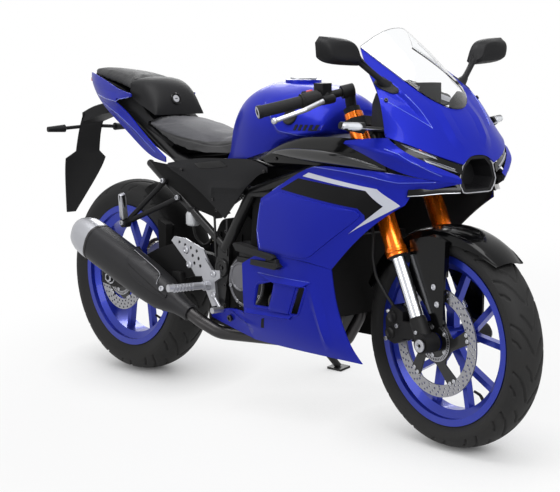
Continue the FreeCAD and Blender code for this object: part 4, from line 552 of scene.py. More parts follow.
def geometry_tree(name, inputs):
    group = bpy.data.node_groups.new(name, "GeometryNodeTree")
    group.interface.new_socket("Geometry", in_out="INPUT", socket_type="NodeSocketGeometry")
    keys = {}
    for label, kind in inputs:
        keys[label] = group.interface.new_socket(label, in_out="INPUT",
                                                 socket_type="NodeSocket" + kind).identifier
    group.interface.new_socket("Geometry", in_out="OUTPUT", socket_type="NodeSocketGeometry")
    return group, group.nodes.new("NodeGroupInput").outputs, group.nodes.new("NodeGroupOutput").inputs, keys


def scatter_tree():
    """Sets a small part on every point, turned to the point's facing and as large as its size."""
    group, given, made, keys = geometry_tree(
        "set_on_points", (("Part", "Object"), ("Size share", "Float"), ("Finish", "Material")))
    facing = put(group, "GeometryNodeInputNamedAttribute", {"Name": "facing"},
                 data_type="FLOAT_VECTOR").outputs[0]
    width = put(group, "GeometryNodeInputNamedAttribute", {"Name": "width"}, data_type="FLOAT").outputs[0]
    turn = put(group, "FunctionNodeAlignRotationToVector", {"Vector": facing}, axis="Z").outputs[0]
    grown = put(group, "ShaderNodeMath", {0: width, 1: given["Size share"]}, operation="MULTIPLY").outputs[0]
    part = put(group, "GeometryNodeObjectInfo", {"Object": given["Part"]}).outputs["Geometry"]
    points = put(group, "GeometryNodeMeshToPoints", {"Mesh": given["Geometry"]}).outputs["Points"]
    set_on = put(group, "GeometryNodeInstanceOnPoints", {"Points": points, "Instance": part, "Rotation": turn,
                                                         "Scale": grown}).outputs[0]
    real = put(group, "GeometryNodeRealizeInstances", {0: set_on}).outputs[0]
    group.links.new(put(group, "GeometryNodeSetMaterial",
                        {"Geometry": real, "Material": given["Finish"]}).outputs[0],
                    made["Geometry"])
    return group, keys


def link_tree():
    """Sets inner and outer links by turns along a closed curve."""
    group, given, made, keys = geometry_tree(
        "links_on_curve", (("Outer link", "Object"), ("Inner link", "Object"), ("Count", "Int"),
                           ("Finish", "Material")))
    evenly = put(group, "GeometryNodeCurveToPoints", {"Curve": given["Geometry"], "Count": given["Count"]},
                 mode="COUNT").outputs
    order = put(group, "GeometryNodeInputIndex").outputs[0]
    odd = put(group, "ShaderNodeMath", {0: order, 1: 2.0}, operation="MODULO").outputs[0]
    even = put(group, "ShaderNodeMath", {0: 1.0, 1: odd}, operation="SUBTRACT").outputs[0]
    join = put(group, "GeometryNodeJoinGeometry")
    for label, chosen in (("Outer link", odd), ("Inner link", even)):
        link = put(group, "GeometryNodeObjectInfo", {"Object": given[label]}).outputs["Geometry"]
        row = put(group, "GeometryNodeInstanceOnPoints", {"Points": evenly["Points"], "Instance": link,
                                                          "Rotation": evenly["Rotation"],
                                                          "Selection": chosen})
        group.links.new(row.outputs[0], join.inputs[0])
    real = put(group, "GeometryNodeRealizeInstances", {0: join.outputs[0]}).outputs[0]
    group.links.new(put(group, "GeometryNodeSetMaterial",
                        {"Geometry": real, "Material": given["Finish"]}).outputs[0],
                    made["Geometry"])
    return group, keys


SCATTER, SCATTER_KEYS = scatter_tree()
LINKS, LINK_KEYS = link_tree()


def template(name, build):
    bm = bmesh.new()
    build(bm)
    return placed_mesh(name, tidy(bm), Matrix.Identity(4))


def turned_about_z(profile, segments):
    def build(bm):
        add_lathe(bm, profile, segments)
        bm.transform(Matrix.Rotation(math.radians(90), 4, "X"))
    return build


def scattered(name, spots, part, finish_name, body, node):
    """One mesh of small parts; spots are (point, facing, width), the width in millimetres."""
    mesh = bpy.data.meshes.new(name)
    mesh.from_pydata([spot[0] for spot in spots], [], [])
    facing = mesh.attributes.new("facing", "FLOAT_VECTOR", "POINT")
    facing.data.foreach_set("vector", [c for spot in spots for c in spot[1]])
    width = mesh.attributes.new("width", "FLOAT", "POINT")
    width.data.foreach_set("value", [spot[2] * 0.001 for spot in spots])
    made = linked(name, mesh)
    nodes = made.modifiers.new("set_on", "NODES")
    nodes.node_group = SCATTER
    nodes[SCATTER_KEYS["Part"]] = part
    nodes[SCATTER_KEYS["Size share"]] = 1.0
    nodes[SCATTER_KEYS["Finish"]] = FINISH[finish_name]
    return dressed(shaded(baked(made), 40), finish_name, body, slot=SLOTS[node])


# Fasteners one unit across their heads, pointing along z; each spot's width sets their size
SOCKET_BOLT = template("socket_bolt", turned_about_z(
    [(-0.3, 0), (-0.3, 0.3), (0, 0.5), (0.36, 0.5), (0.44, 0.42), (0.44, 0.26), (0.16, 0.24), (0.16, 0)], 12))
BUTTON = template("button", turned_about_z(
    [(-0.1, 0), (-0.1, 0.5), (0.12, 0.5), (0.2, 0.4), (0.2, 0.26), (0.12, 0.22), (0.12, 0)], 14))


# ---------------------------------------------------------------------------------------------------------
# Wheels
# ---------------------------------------------------------------------------------------------------------

# Tread grooves of one pitch: lines of (share of the pitch round the tyre, share of the tread from its middle)
SIPES = (
    ((0.02, 0.10), (0.30, 0.36), (0.52, 0.62), (0.66, 0.94)),
    ((0.48, 0.06), (0.66, 0.22), (0.80, 0.44)),
    ((0.16, 0.70), (0.28, 0.84), (0.34, 1.0)),
)


# Radii of the rim's bead seat and of its flange; depth of a groove, half its width at the top, run of its wall
SEAT_RADIUS, FLANGE_RADIUS = 216.3, 231.3
GROOVE_DEPTH, GROOVE_HALF, GROOVE_WALL = 4.2, 3.9, 1.7
PITCHES, SEGMENTS_PER_PITCH = 14, 40


def tyre(name, node, radius, width, rim_width, place, body):
    """A carcass with a smooth round section, moulded rings on its walls and a grooved tread."""
    seat, inside = SEAT_RADIUS, rim_width / 2 - 4.3
    half, tall = width / 2, radius - seat
    wall = [(inside, seat), (inside, FLANGE_RADIUS), (half * 0.93, seat + tall * 0.36),
            (half, seat + tall * 0.54), (half * 0.93, seat + tall * 0.72), (half * 0.72, seat + tall * 0.88),
            (half * 0.38, seat + tall * 0.97), (0, radius)]
    drawn = [(y, r, 0) for y, r in wall[1:]] + [(-half * 0.38, seat + tall * 0.97, 0)]
    side = [(p.x, p.y) for p in smooth_path(drawn, 9)][:-9]
    ribs = (seat + tall * 0.40, seat + tall * 0.45, seat + tall * 0.66)
    side = [(y + sum(0.8 * max(0.0, 1 - abs(r - rib) / 1.6) for rib in ribs if y > half * 0.8), r)
            for y, r in side]
    lining = [(half * 0.3, seat + tall * 0.85), (half * 0.62, seat + tall * 0.76),
              (half * 0.80, seat + tall * 0.5), (inside - 9, seat + tall * 0.22), (inside - 13, seat)]
    outer = [wall[0]] + side + [(-y, r) for y, r in reversed(side[:-1])] + [(-wall[0][0], seat)]
    profile = np.array(outer + [(-y, r) for y, r in reversed(lining)] + lining)
    segments = SEGMENTS_PER_PITCH * PITCHES
    turns = np.arange(segments) * 2 * math.pi / segments
    slopes = np.gradient(profile, axis=0)
    normals = np.stack([-slopes[:, 1], slopes[:, 0]], 1)
    normals /= np.linalg.norm(normals, axis=1)[:, None]
    if normals[len(side), 1] < 0:
        normals = -normals
    run = np.cumsum(np.r_[0, np.linalg.norm(np.diff(profile[:len(outer)], axis=0), axis=1)])
    run -= run[len(side)]
    tread = [i for i in range(len(outer)) if outer[i][1] > seat + tall * 0.66]
    reach = max(abs(run[i]) for i in tread)
    pitch = 2 * math.pi * radius / PITCHES
    depth = np.zeros((segments, len(profile)))
    along = turns[:, None] * radius
    for i in tread:
        side_shift = 0.0 if run[i] >= 0 else 0.5
        place_on = (along[:, 0] / pitch + side_shift) % 1.0
        best = np.full(segments, 1e9)
        for line in SIPES:
            for (u0, v0), (u1, v1) in zip(line, line[1:]):
                for wrap in (-1, 0, 1):
                    ax, ay, bx, by = (u0 + wrap) * pitch, v0 * reach, (u1 + wrap) * pitch, v1 * reach
                    px, py = place_on * pitch, abs(run[i])
                    way_x, way_y = bx - ax, by - ay
                    t = np.clip(((px - ax) * way_x + (py - ay) * way_y) / (way_x ** 2 + way_y ** 2), 0, 1)
                    best = np.minimum(best, np.hypot(px - ax - t * way_x, py - ay - t * way_y))
        depth[:, i] = GROOVE_DEPTH * np.clip((GROOVE_HALF - best) / GROOVE_WALL, 0, 1)
    across = profile[None, :, 0] - depth * normals[None, :, 0]
    radial = profile[None, :, 1] - depth * normals[None, :, 1]
    points = np.stack([radial * np.cos(turns)[:, None], across, radial * np.sin(turns)[:, None]],
                      2).reshape(-1, 3)
    count = len(profile)
    faces = [(s * count + i, s * count + (i + 1) % count, (s + 1) % segments * count + (i + 1) % count,
              (s + 1) % segments * count + i) for s in range(segments) for i in range(count)]
    mesh = bpy.data.meshes.new(name)
    mesh.from_pydata([place @ Vector(p) for p in points], [], faces)
    bm = bmesh.new()
    bm.from_mesh(mesh)
    tidy(bm).to_mesh(mesh)
    bm.free()
    return dressed(shaded(linked(name, mesh), 50), "tyre_rubber", body, node)


def ring_of_holes(radius, count, size, shift, sides=8):
    return [circle(size, sides, (radius * math.cos(a), radius * math.sin(a)))
            for a in (2 * math.pi * (k + shift) / count for k in range(count))]


def spider(inner, outer, arms, arm_width, twist):
    """Outline of a disc carrier: a hub with slanted arms."""
    line = []
    for arm in range(arms):
        base = 2 * math.pi * arm / arms
        for radius, offset in ((inner, -0.5), (inner, -0.3)):
            line.append((radius, base + offset * 2 * math.pi / arms))
        line += [(inner + 8, base - arm_width / inner), (outer - 6, base + twist - arm_width / outer * 1.5),
                 (outer, base + twist - arm_width / outer), (outer, base + twist + arm_width / outer),
                 (outer - 6, base + twist + arm_width / outer * 1.5), (inner + 8, base + arm_width / inner),
                 (inner, base + 0.3 * 2 * math.pi / arms)]
    return rounded([(r * math.cos(a), r * math.sin(a)) for r, a in line], 5, 3)


def brake_disc(name, node, radius, band, depth, hub, place, body, rows, sensor_depth):
    """A drilled plate on a carrier, with its buttons and the toothed ring of the speed sensor."""
    arms, twist = 5, 0.22
    holes = [circle(radius - band, 96)] + [hole for share, count, shift in rows
                                           for hole in ring_of_holes(radius - band * share, count, 3.1,
                                                                     shift)]
    plate = board(name, circle(radius, 144), holes, 4.5, depth, place, 0.4)
    dressed(plate, "disc_steel", body, node)
    carrier = board(name + "_carrier", spider(hub + 24, radius - band + 6, arms, 13, twist),
                    [circle(hub - 10, 40)] + ring_of_holes(hub + 6, arms, 6, 0.5, 12), 5.4, depth, place, 0.6)
    dressed(carrier, "carrier_black", body, slot=SLOTS[node])
    slot = ((hub + 10.5, -0.28), (hub + 17.5, -0.22), (hub + 17.5, 0.22), (hub + 10.5, 0.28))
    slots = [[(r * math.cos(a), r * math.sin(a))
              for r, a in ((r, 2 * math.pi * (k + turn) / 48) for r, turn in slot)] for k in range(48)]
    sensor = board(name + "_sensor_ring", circle(hub + 20, 96), [circle(hub + 8, 60)] + slots, 1.2,
                   sensor_depth, place, 0.2)
    dressed(sensor, "steel", body, slot=SLOTS[node])

    def button(angle, out, sunk, width):
        centre = (math.cos(angle) * out, depth - sunk, math.sin(angle) * out)
        return carried_spot(place, centre, (0, -1, 0), width)

    spots = []
    for arm in range(arms):
        for shift in (-0.07, 0.07):
            spots.append(button(2 * math.pi * arm / arms + twist + shift, radius - band + 1, 2.2, 12))
        spots.append(button(2 * math.pi * (arm + 0.5) / arms, hub + 6, 2.6, 13))
    scattered(name + "_buttons", spots, BUTTON, "silver", body, node)


SPROCKET_TEETH, CHAIN_PITCH, CHAIN_OUT = 43, 15.875, 84


def wheels():
    """Tyres, discs, sprocket teeth and valves."""
    tyre("front_tyre_tread", "front_tyre", FRONT_RADIUS, 110, 84, FRONT_WHEEL, "front_wheel")
    tyre("rear_tyre_tread", "rear_tyre", REAR_RADIUS, 140, 116, REAR_WHEEL, "rear_wheel")
    rows = ((0.18, 40, 0.0), (0.42, 40, 0.35), (0.66, 40, 0.7), (0.88, 20, 0.3))
    brake_disc("front_disc_plate", "front_disc", 149, 33, -61.75, 34, FRONT_WHEEL, "front_wheel", rows, -66.2)
    brake_disc("rear_disc_plate", "rear_disc", 110, 34, -82.75, 42, REAR_WHEEL, "rear_wheel",
               ((0.2, 30, 0.0), (0.5, 30, 0.4), (0.8, 30, 0.8)), -87.2)
    steps = 4 * SPROCKET_TEETH
    teeth = [(radius * math.cos(a), radius * math.sin(a)) for radius, a in
             ((96 if k % 4 in (0, 3) else 100, 2 * math.pi * k / steps) for k in range(steps))]
    sprocket = board("rear_sprocket_teeth", teeth, [circle(31, 40)] + ring_of_holes(76, 6, 13, 0.5, 24)
                     + ring_of_holes(46, 5, 4, 0.0, 12), 6.6, CHAIN_OUT, REAR_WHEEL, 0.5)
    dressed(sprocket, "steel", "rear_wheel", "rear_sprocket")
    angle = math.radians(-52)
    way = Vector((math.cos(angle), 0, math.sin(angle)))
    stem = [way * out + Vector((0, y, 0)) for out, y in ((192, -6), (176, -6), (170, -8), (158, -20))]
    for place, body, node in ((FRONT_WHEEL, "front_wheel", "front_rim"),
                              (REAR_WHEEL, "rear_wheel", "rear_rim")):
        valve = placed_mesh(node + "_valve", tube(stem, [5, 4.2, 4, 3.6], 12), place)
        dressed(shaded(valve), "satin_black", body, slot=SLOTS[node])


def belt_points(rear_radius, front_radius, front):
    """Points round both sprockets, in the wheel's plane."""
    way = Vector((front[0], front[1] - REAR_RADIUS))
    heading, lean = math.atan2(way.y, way.x), math.acos((rear_radius - front_radius) / way.length)
    line = []
    for centre, radius, start, end in (
            (Vector((0, REAR_RADIUS)), rear_radius, heading + lean, heading - lean + 2 * math.pi),
            (Vector(front), front_radius, heading - lean, heading + lean)):
        count = max(6, int(abs(end - start) * radius / 6.0))
        for k in range(count + 1):
            a = start + (end - start) * k / count
            line.append((centre.x + radius * math.cos(a), centre.y + radius * math.sin(a)))
    return line


def link_plates(gap, thick, pin):
    """Two waisted plates either side of a roller pair, along x, drawn in millimetres."""
    def build(bm):
        outline = []
        for k in range(20):
            a = 2 * math.pi * k / 20
            outline.append((math.copysign(7.9, math.cos(a)) * (abs(math.cos(a)) > 0.2) + 6.4 * math.cos(a),
                            6.4 * math.sin(a) * (1 if abs(math.cos(a)) > 0.2 else 0.74)))
        for side in BOTH:
            low, high = side * gap, side * (gap + thick)
            add_loft(bm, [[(x, y, z) for x, y in outline] for z in (low, high)])
        for x in (-CHAIN_PITCH / 2, CHAIN_PITCH / 2):
            add_tube(bm, [(x, 0, -pin), (x, 0, pin)], 3.2, 10)
        bm.transform(MILLIMETRES)
    return build


def chain():
    """Roller chain: outer and inner links by turns."""
    flat = bpy.data.curves.new("chain_line", "CURVE")
    flat.dimensions = "3D"
    spline = flat.splines.new("POLY")
    line = belt_points(108.7, 41.8, (652, 420))
    spline.points.add(len(line) - 1)
    for point, (x, z) in zip(spline.points, line):
        point.co = (*(MACHINE @ Vector((x, CHAIN_OUT, z))), 1)
    spline.use_cyclic_u = True
    length = sum((Vector(a) - Vector(b)).length for a, b in zip(line, line[1:] + line[:1]))
    loop = linked("chain_links", flat)
    outer = template("outer_link", link_plates(5.2, 1.6, 7.4))
    inner = template("inner_link", link_plates(3.2, 1.6, 4.8))
    nodes = loop.modifiers.new("links", "NODES")
    nodes.node_group = LINKS
    nodes[LINK_KEYS["Outer link"]], nodes[LINK_KEYS["Inner link"]] = outer, inner
    nodes[LINK_KEYS["Count"]] = 2 * round(length / CHAIN_PITCH / 2)
    nodes[LINK_KEYS["Finish"]] = FINISH["chain_steel"]
    dressed(shaded(baked(loop), 40), "chain_steel", "chassis", "chain")
    for part in (outer, inner):
        bpy.data.objects.remove(part)


# ---------------------------------------------------------------------------------------------------------
# Seats
# ---------------------------------------------------------------------------------------------------------


def stuffed(node, name, voxel, shrink, cap):
    """Foam under a cover: the seat's solid, drawn in a little, then blown up as cloth."""
    seat = merged_copy(node, name)
    remesh = seat.modifiers.new("even", "REMESH")
    remesh.mode, remesh.voxel_size = "VOXEL", voxel * 0.001
    seat = baked(seat)
    mesh = seat.data
    turn = TO_MACHINE.to_3x3()
    drawn_in, last_frame = [], 20
    for vert in mesh.vertices:
        facing = (turn @ vert.normal).normalized()
        vert.co -= vert.normal * shrink * 0.001
        if facing.z < -0.5:
            drawn_in.append(vert.index)
    start = np.array([v.co for v in mesh.vertices])
    seat.vertex_groups.new(name="base").add(drawn_in, 1.0, "ADD")
    cloth = seat.modifiers.new("cover", "CLOTH")
    cloth.settings.vertex_group_mass = "base"
    cloth.settings.use_pressure = True
    cloth.settings.uniform_pressure_force = 4.0
    cloth.settings.tension_stiffness = cloth.settings.compression_stiffness = 40
    cloth.settings.bending_stiffness = 2
    cloth.settings.effector_weights.gravity = 0
    cloth.point_cache.frame_start, cloth.point_cache.frame_end = 1, last_frame
    for step in range(1, last_frame + 1):
        bpy.context.scene.frame_set(step)
    graph = bpy.context.evaluated_depsgraph_get()
    moved = np.array([v.co for v in seat.evaluated_get(graph).data.vertices])
    seat.modifiers.remove(cloth)
    bpy.context.scene.frame_set(1)
    shift = moved - start
    far = np.linalg.norm(shift, axis=1)
    shift *= np.minimum(1, cap * 0.001 / np.maximum(far, 1e-9))[:, None]
    mesh.vertices.foreach_set("co", (start + shift).ravel())
    smooth = seat.modifiers.new("smooth", "SMOOTH")
    smooth.factor, smooth.iterations = 0.5, 6
    finer = seat.modifiers.new("finer", "SUBSURF")
    finer.levels = finer.render_levels = 1
    return baked(seat)


def sew(seat, line, width, depth):
    """Presses a sewn channel into a cover along a line of machine points."""
    points = [Vector(p) for p in line]
    for vert in seat.data.vertices:
        here = TO_MACHINE @ vert.co
        best = 1e9
        for a, b in zip(points, points[1:]):
            way = b - a
            t = max(0.0, min(1.0, (here - a).dot(way) / way.length_squared))
            best = min(best, (here - a - way * t).length)
        if best < width * 2:
            vert.co -= vert.normal * depth * 0.001 * math.exp(-(best / width) ** 2)


# Where the rider's seat turns from its grey top, a painted reflection on its black cover, to its black sides: x,
# distance out, level
SEAT_LINE = ((170, 100, 822), (259, 119, 803), (344, 127, 789), (460, 116, 776), (540, 92, 780),
             (576, 70, 786))


def seats():
    rider = stuffed("rider_seat", "rider_seat_cover", 6, 4.5, 9)
    tree = surface(rider)
    for side in BOTH:
        seam = [tree.find_nearest(Vector((x, side * y, z)))[0] for x, y, z in SEAT_LINE]
        sew(rider, smooth_path(seam, 3), 3.5, 2.4)
    dressed(shaded(rider, 80), "seat_grey", "chassis", "rider_seat")
    # Faces below the seam line or facing down get black; the rest keeps the grey top, a painted reflection
    rider.data.materials.append(FINISH["seat_black"])
    levels = [(x, z) for x, _, z in SEAT_LINE]
    for face in rider.data.polygons:
        middle = TO_MACHINE @ face.center
        if middle.z < np.interp(middle.x, *zip(*levels)) and abs(middle.y) > 40 or face.normal.z < -0.2:
            face.material_index = 1
    pillion = stuffed("pillion_seat", "passenger_seat_cover", 5, 3.5, 7)
    dressed(shaded(pillion, 80), "seat_black", "chassis", "pillion_seat")


# ---------------------------------------------------------------------------------------------------------
# Bodywork and the rest
# ---------------------------------------------------------------------------------------------------------

# node, finish, crease angle, subdivision levels
SMOOTHED = (
    ("fuel_tank", "blue_paint", 60, 3), ("tail_wings", "blue_paint", 34, 2),
            ("front_cowl", "blue_paint", 60, 3),
    ("side_fairings", "blue_paint", 34, 2), ("belly_fairings", "blue_paint", 34, 2),
    ("upper_covers", "gloss_black", 34, 2), ("side_covers", "cover_black", 34, 2),
    ("front_fender", "gloss_black", 50, 2), ("windscreen", "screen", 60, 3),
            ("mirrors", "satin_black", 50, 2),
    ("seat_hump", "satin_black", 50, 3), ("headlights", "smoked", 34, 2), ("tail_core", "satin_black", 50, 2),
    ("rear_mudguard", "matt_black", 50, 2), ("plate_bracket", "satin_black", 40, 2),
)
KEPT = {
    "main_frame": "frame_black", "engine": "engine_grey", "radiator": "matt_black",
        "exhaust_pipe": "dark_steel",
    "swingarm": "satin_black", "shock": "dark_steel", "rear_caliper": "satin_black",
    "footrests": "silver", "passenger_footrests": "satin_black", "stand_bracket": "frame_black",
    "tail_light": "tail_lens", "rear_signals": "satin_black", "nose_duct": "satin_black",
    "inner_fairing": "matt_black", "front_signals": "satin_black", "fork_outers": "gold",
        "fork_inners": "chrome",
    "fork_feet": "satin_black", "triple_clamps": "satin_black", "handlebars": "satin_black",
    "hand_grips": "grip_rubber", "hand_controls": "satin_black", "hand_levers": "silver",
    "front_caliper": "satin_black", "brake_hose": "hose_rubber", "front_rim": "wheel_blue",
    "rear_rim": "wheel_blue", "side_stand": "frame_black", "fuel_lid": "silver",
}


def kept_nodes():
    for node, finish_name in KEPT.items():
        for slot in frame["nodes"][node].material_slots:
            slot.material = FINISH[finish_name]


# Folds pressed into panels: node, line of (x, z, height) on the right side, widths to the left and right of
# the line's own direction, and the way out; the left side is the same, mirrored
FOLDS = (
    ("side_fairings", ((868, 672, 0), (1044, 742, 6), (1190, 736, 6), (1282, 728, 6), (1356, 716, 7),
                       (1436, 720, 2)),
     12, 16, (0.1, 0.9, 0.2)),
    ("side_fairings", ((1326, 806, 0), (1371, 792, 6), (1412, 764, 6), (1450, 732, 2)), 9, 24,
     (0.5, 0.8, 0.2)),
    ("belly_fairings", ((1040, 440, 0), (1059, 338, 7), (1070, 294, 8), (1082, 250, 4)), 26, 14,
     (0.2, 0.95, 0)),
    ("belly_fairings", ((593, 296, 0), (669, 303, 5), (744, 271, 5), (805, 262, 0)), 12, 12, (0, 1, 0)),
    ("tail_wings", ((-150, 905, 0), (-60, 893, 5), (24, 885, 6), (116, 904, 2)), 26, 14, (0, 0.9, 0.3)),
    ("tail_wings", ((-100, 880, 0), (24, 846, 5), (150, 790, 5), (262, 728, 0)), 24, 12, (0, 0.95, 0.1)),
    ("fuel_tank", ((780, 908, 0), (838, 868, 7), (873, 829, 6), (946, 818, 7), (1040, 812, 0)), 24, 9,
     (0.1, 0.9, 0.3)),
    ("side_covers", ((545, 606, 0), (561, 648, 5), (706, 656, 6), (726, 666, 2)), 22, 16, (0, 1, 0)),
)


# The same, drawn from the front, with the distance out from the middle as the first number
FRONT_FOLDS = (
    ("front_cowl", ((130, 944, 9), (120, 900, 7), (110, 851, 0)), 12, 44, (0.5, 0.7, 0.3)),
    ("front_cowl", ((36, 800, 0), (58, 830, 4), (62, 880, 4), (54, 930, 0)), 24, 24, (0.9, 0.2, 0.3)),
)


def along_line(line, u, v):
    """Signed distance from a drawn line, to its left, and the height drawn at the nearest place."""
    found = (1e9, 0.0)
    for (ax, az, ah), (bx, bz, bh) in zip(line, line[1:]):
        way = Vector((bx - ax, bz - az))
        here = Vector((u - ax, v - az))
        t = max(0.0, min(1.0, here.dot(way) / way.length_squared))
        away = (here - way * t).length
        if away < abs(found[0]):
            found = (math.copysign(away, way.x * here.y - way.y * here.x), ah + (bh - ah) * t)
    return found


def fold(panel, front, line, left, right, way):
    """Presses a sharp fold into a panel, with new edges along the fold and along its feet."""
    bm = bmesh.new()
    bm.from_mesh(panel.data)
    bm.transform(TO_MACHINE)
    reach = max(left, right) + 8
    for side in BOTH:
        def drawn(place):
            return Vector((side * place.y if front else place.x, place.z))

        def shows(place):
            return place.x > 1150 and side * place.y > 2 if front else side * place.y > 5

        for (ax, az, _), (bx, bz, _) in zip(line, line[1:]):
            start, ahead = Vector((ax, az)), Vector((bx - ax, bz - az))
            length = ahead.length
            ahead.normalize()
            beside = Vector((-ahead.y, ahead.x))
            for shift in (left, 0, -right):
                chosen = []
                for face in bm.faces:
                    middle = face.calc_center_median()
                    here = drawn(middle) - start
                    if shows(middle) and -8 < here.dot(ahead) < length + 8 and abs(here.dot(beside)) < reach:
                        chosen.append(face)
                around = {edge for face in chosen for edge in face.edges}
                corners = {vert for face in chosen for vert in face.verts}
                spot = start + beside * shift
                bmesh.ops.bisect_plane(bm, geom=[*corners, *around, *chosen], dist=0.05,
                                       plane_co=(0, side * spot.x, spot.y) if front else (spot.x, 0, spot.y),
                                       plane_no=(0, side * beside.x, beside.y) if front
                                       else (beside.x, 0, beside.y))
        out = Vector((way[0], side * way[1], way[2])).normalized()
        raised = {}
        for vert in bm.verts:
            if shows(vert.co):
                away, height = along_line(line, *drawn(vert.co))
                share = 1 - (away / left if away > 0 else -away / right)
                if share > 0 and height > 0:
                    raised[vert] = (height * share, abs(away) < 0.4 and height > 1)
        for edge in bm.edges:
            if all(raised.get(vert, (0, False))[1] for vert in edge.verts):
                edge.smooth = False
        for vert, (lift, _) in raised.items():
            vert.co += out * lift
    bm.transform(MACHINE)
    bm.to_mesh(panel.data)
    bm.free()


def rimmed(panel, finish_name):
    """Another finish on the narrow faces round a clear sheet."""
    panel.data.materials.append(FINISH[finish_name])
    tree = surface(panel)
    turn = TO_MACHINE.to_3x3()
    for face in panel.data.polygons:
        inward = -(turn @ face.normal).normalized()
        _, _, _, depth = tree.ray_cast(TO_MACHINE @ face.center + inward * 0.2, inward)
        if depth is not None and depth > 30:
            face.material_index = 1


LINED = ("front_cowl", "side_fairings", "belly_fairings", "tail_wings")


def lined(panel, finish_name):
    """Unpainted plastic on the faces that look inwards."""
    panel.data.materials.append(FINISH[finish_name])
    turn = TO_MACHINE.to_3x3().normalized()
    for face in panel.data.polygons:
        middle, facing = TO_MACHINE @ face.center, (turn @ face.normal).normalized()
        slant = 0.6 if abs(middle.y) < 110 else 0.1
        if facing.y * math.copysign(1, middle.y) + (facing.x + facing.z) * slant < -0.2:
            face.material_index = 1


def smoothed_panels():
    made = {}
    for node, finish_name, crease, levels in SMOOTHED:
        made[node] = rounded_copy(node, node + "_panel", crease, levels)
        dressed(made[node], finish_name, BODY_OF[node], node)
        if node in LINED:
            lined(made[node], "matt_black")
    rimmed(made["windscreen"], "screen_edge")
    for front, folds in ((False, FOLDS), (True, FRONT_FOLDS)):
        for node, line, left, right, way in folds:
            fold(made[node], front, line, left, right, way)
    return made


# ---------------------------------------------------------------------------------------------------------
# Relief, stripes and small parts laid on the panels.  Outlines are drawn for the right side, as seen square
# on: "side" gives (x, z) and "end" gives (y, z); the left side is the same, mirrored.
# ---------------------------------------------------------------------------------------------------------


def seen(plane, side, u, v):
    """Where a drawn place lies on one side, and the way that it is looked at."""
    return (side, u, v) if plane == "side" else (1, side * u, v)


def patch(tree, plane, side, outline, lift, thickness, step=14.0):
    """A closed thin sheet that follows a surface below a drawn outline."""
    sign = seen(plane, side, 0, 0)[0]
    first, second, _ = PLANES[plane]
    bm = bmesh.new()
    corners = []
    for u, v in outline:
        spot = Vector((0, 0, 0))
        _, spot[first], spot[second] = seen(plane, side, u, v)
        corners.append(bm.verts.new(spot))
    bm.faces.new(corners)
    for axis in (first, second):
        low, high = min(v.co[axis] for v in corners), max(v.co[axis] for v in corners)
        normal = Vector((0, 0, 0))
        normal[axis] = 1
        for k in range(1, int((high - low) / step) + 1):
            line = Vector((0, 0, 0))
            line[axis] = low + k * step
            if line[axis] < high - 0.5:
                bmesh.ops.bisect_plane(bm, geom=bm.verts[:] + bm.edges[:] + bm.faces[:], plane_co=line,
                                       plane_no=normal, dist=0.01)
    bmesh.ops.triangulate(bm, faces=bm.faces)
    bmesh.ops.remove_doubles(bm, verts=bm.verts, dist=0.05)
    touched = {vert: touch(tree, plane, sign, vert.co[first], vert.co[second]) for vert in list(bm.verts)}
    facing = sum((normal for _, normal in touched.values()), Vector((0, 0, 0))).normalized()
    top = {vert: point + facing * (lift + thickness) for vert, (point, _) in touched.items()}
    base = {vert: bm.verts.new(point + facing * (lift - 0.3)) for vert, (point, _) in touched.items()}
    rim = [edge for edge in bm.edges if len(edge.link_faces) == 1]
    for face in [face for face in bm.faces if face.verts[0] in top]:
        bm.faces.new([base[v] for v in reversed(face.verts)])
    for edge in rim:
        a, b = edge.verts
        bm.faces.new((a, b, base[b], base[a]))
    for vert, place in top.items():
        vert.co = place
    return tidy(bm)


def facet(tree, plane, side, corners, step=9.0):
    """A flat or twisted plane between four corners (first axis, second axis, height above the surface)."""
    a, b, c, d = (np.array(corner, float) for corner in corners)
    sign = seen(plane, side, 0, 0)[0]
    middle = (a + b + c + d) / 4
    facing = Vector((0, 0, 0))
    for corner in (a, b, c, d, middle):
        _, u, v = seen(plane, side, corner[0], corner[1])
        facing += touch(tree, plane, sign, u, v)[1]
    facing.normalize()
    across = max(1, round(max(np.linalg.norm((b - a)[:2]), np.linalg.norm((c - d)[:2])) / step))
    along = max(1, round(max(np.linalg.norm((d - a)[:2]), np.linalg.norm((c - b)[:2])) / step))
    bm = bmesh.new()
    top, base = [], []
    for j in range(along + 1):
        for i in range(across + 1):
            s, t = i / across, j / along
            u, v, height = (a * (1 - s) + b * s) * (1 - t) + (d * (1 - s) + c * s) * t
            _, u, v = seen(plane, side, u, v)
            point = touch(tree, plane, sign, u, v)[0]
            top.append(bm.verts.new(point + facing * (height + 0.15)))
            base.append(bm.verts.new(point - facing * 0.4))
    row = across + 1
    for j in range(along):
        for i in range(across):
            k = j * row + i
            bm.faces.new((top[k], top[k + 1], top[k + row + 1], top[k + row]))
            bm.faces.new((base[k + row], base[k + row + 1], base[k + 1], base[k]))
    edge = ([k for k in range(row)] + [j * row + across for j in range(1, along + 1)]
            + [along * row + i for i in range(across - 1, -1, -1)]
            + [j * row for j in range(along - 1, 0, -1)])
    for k, n in zip(edge, edge[1:] + edge[:1]):
        bm.faces.new((top[k], base[k], base[n], top[n]))
    return tidy(bm, 0.02)


def laid(name, node, finish_name, parts, edge=0.0, place=MACHINE, angle=35):
    """One object from drawn parts that belong to a node, dressed and carried by its body."""
    whole = bmesh.new()
    for part in parts:
        mesh = bpy.data.meshes.new("part")
        part.to_mesh(mesh)
        part.free()
        whole.from_mesh(mesh)
        bpy.data.meshes.remove(mesh)
    made = placed_mesh(name, whole, place)
    if edge:
        made = bevelled(made, edge)
    return dressed(shaded(made, angle), finish_name, BODY_OF[node], slot=SLOTS[node])


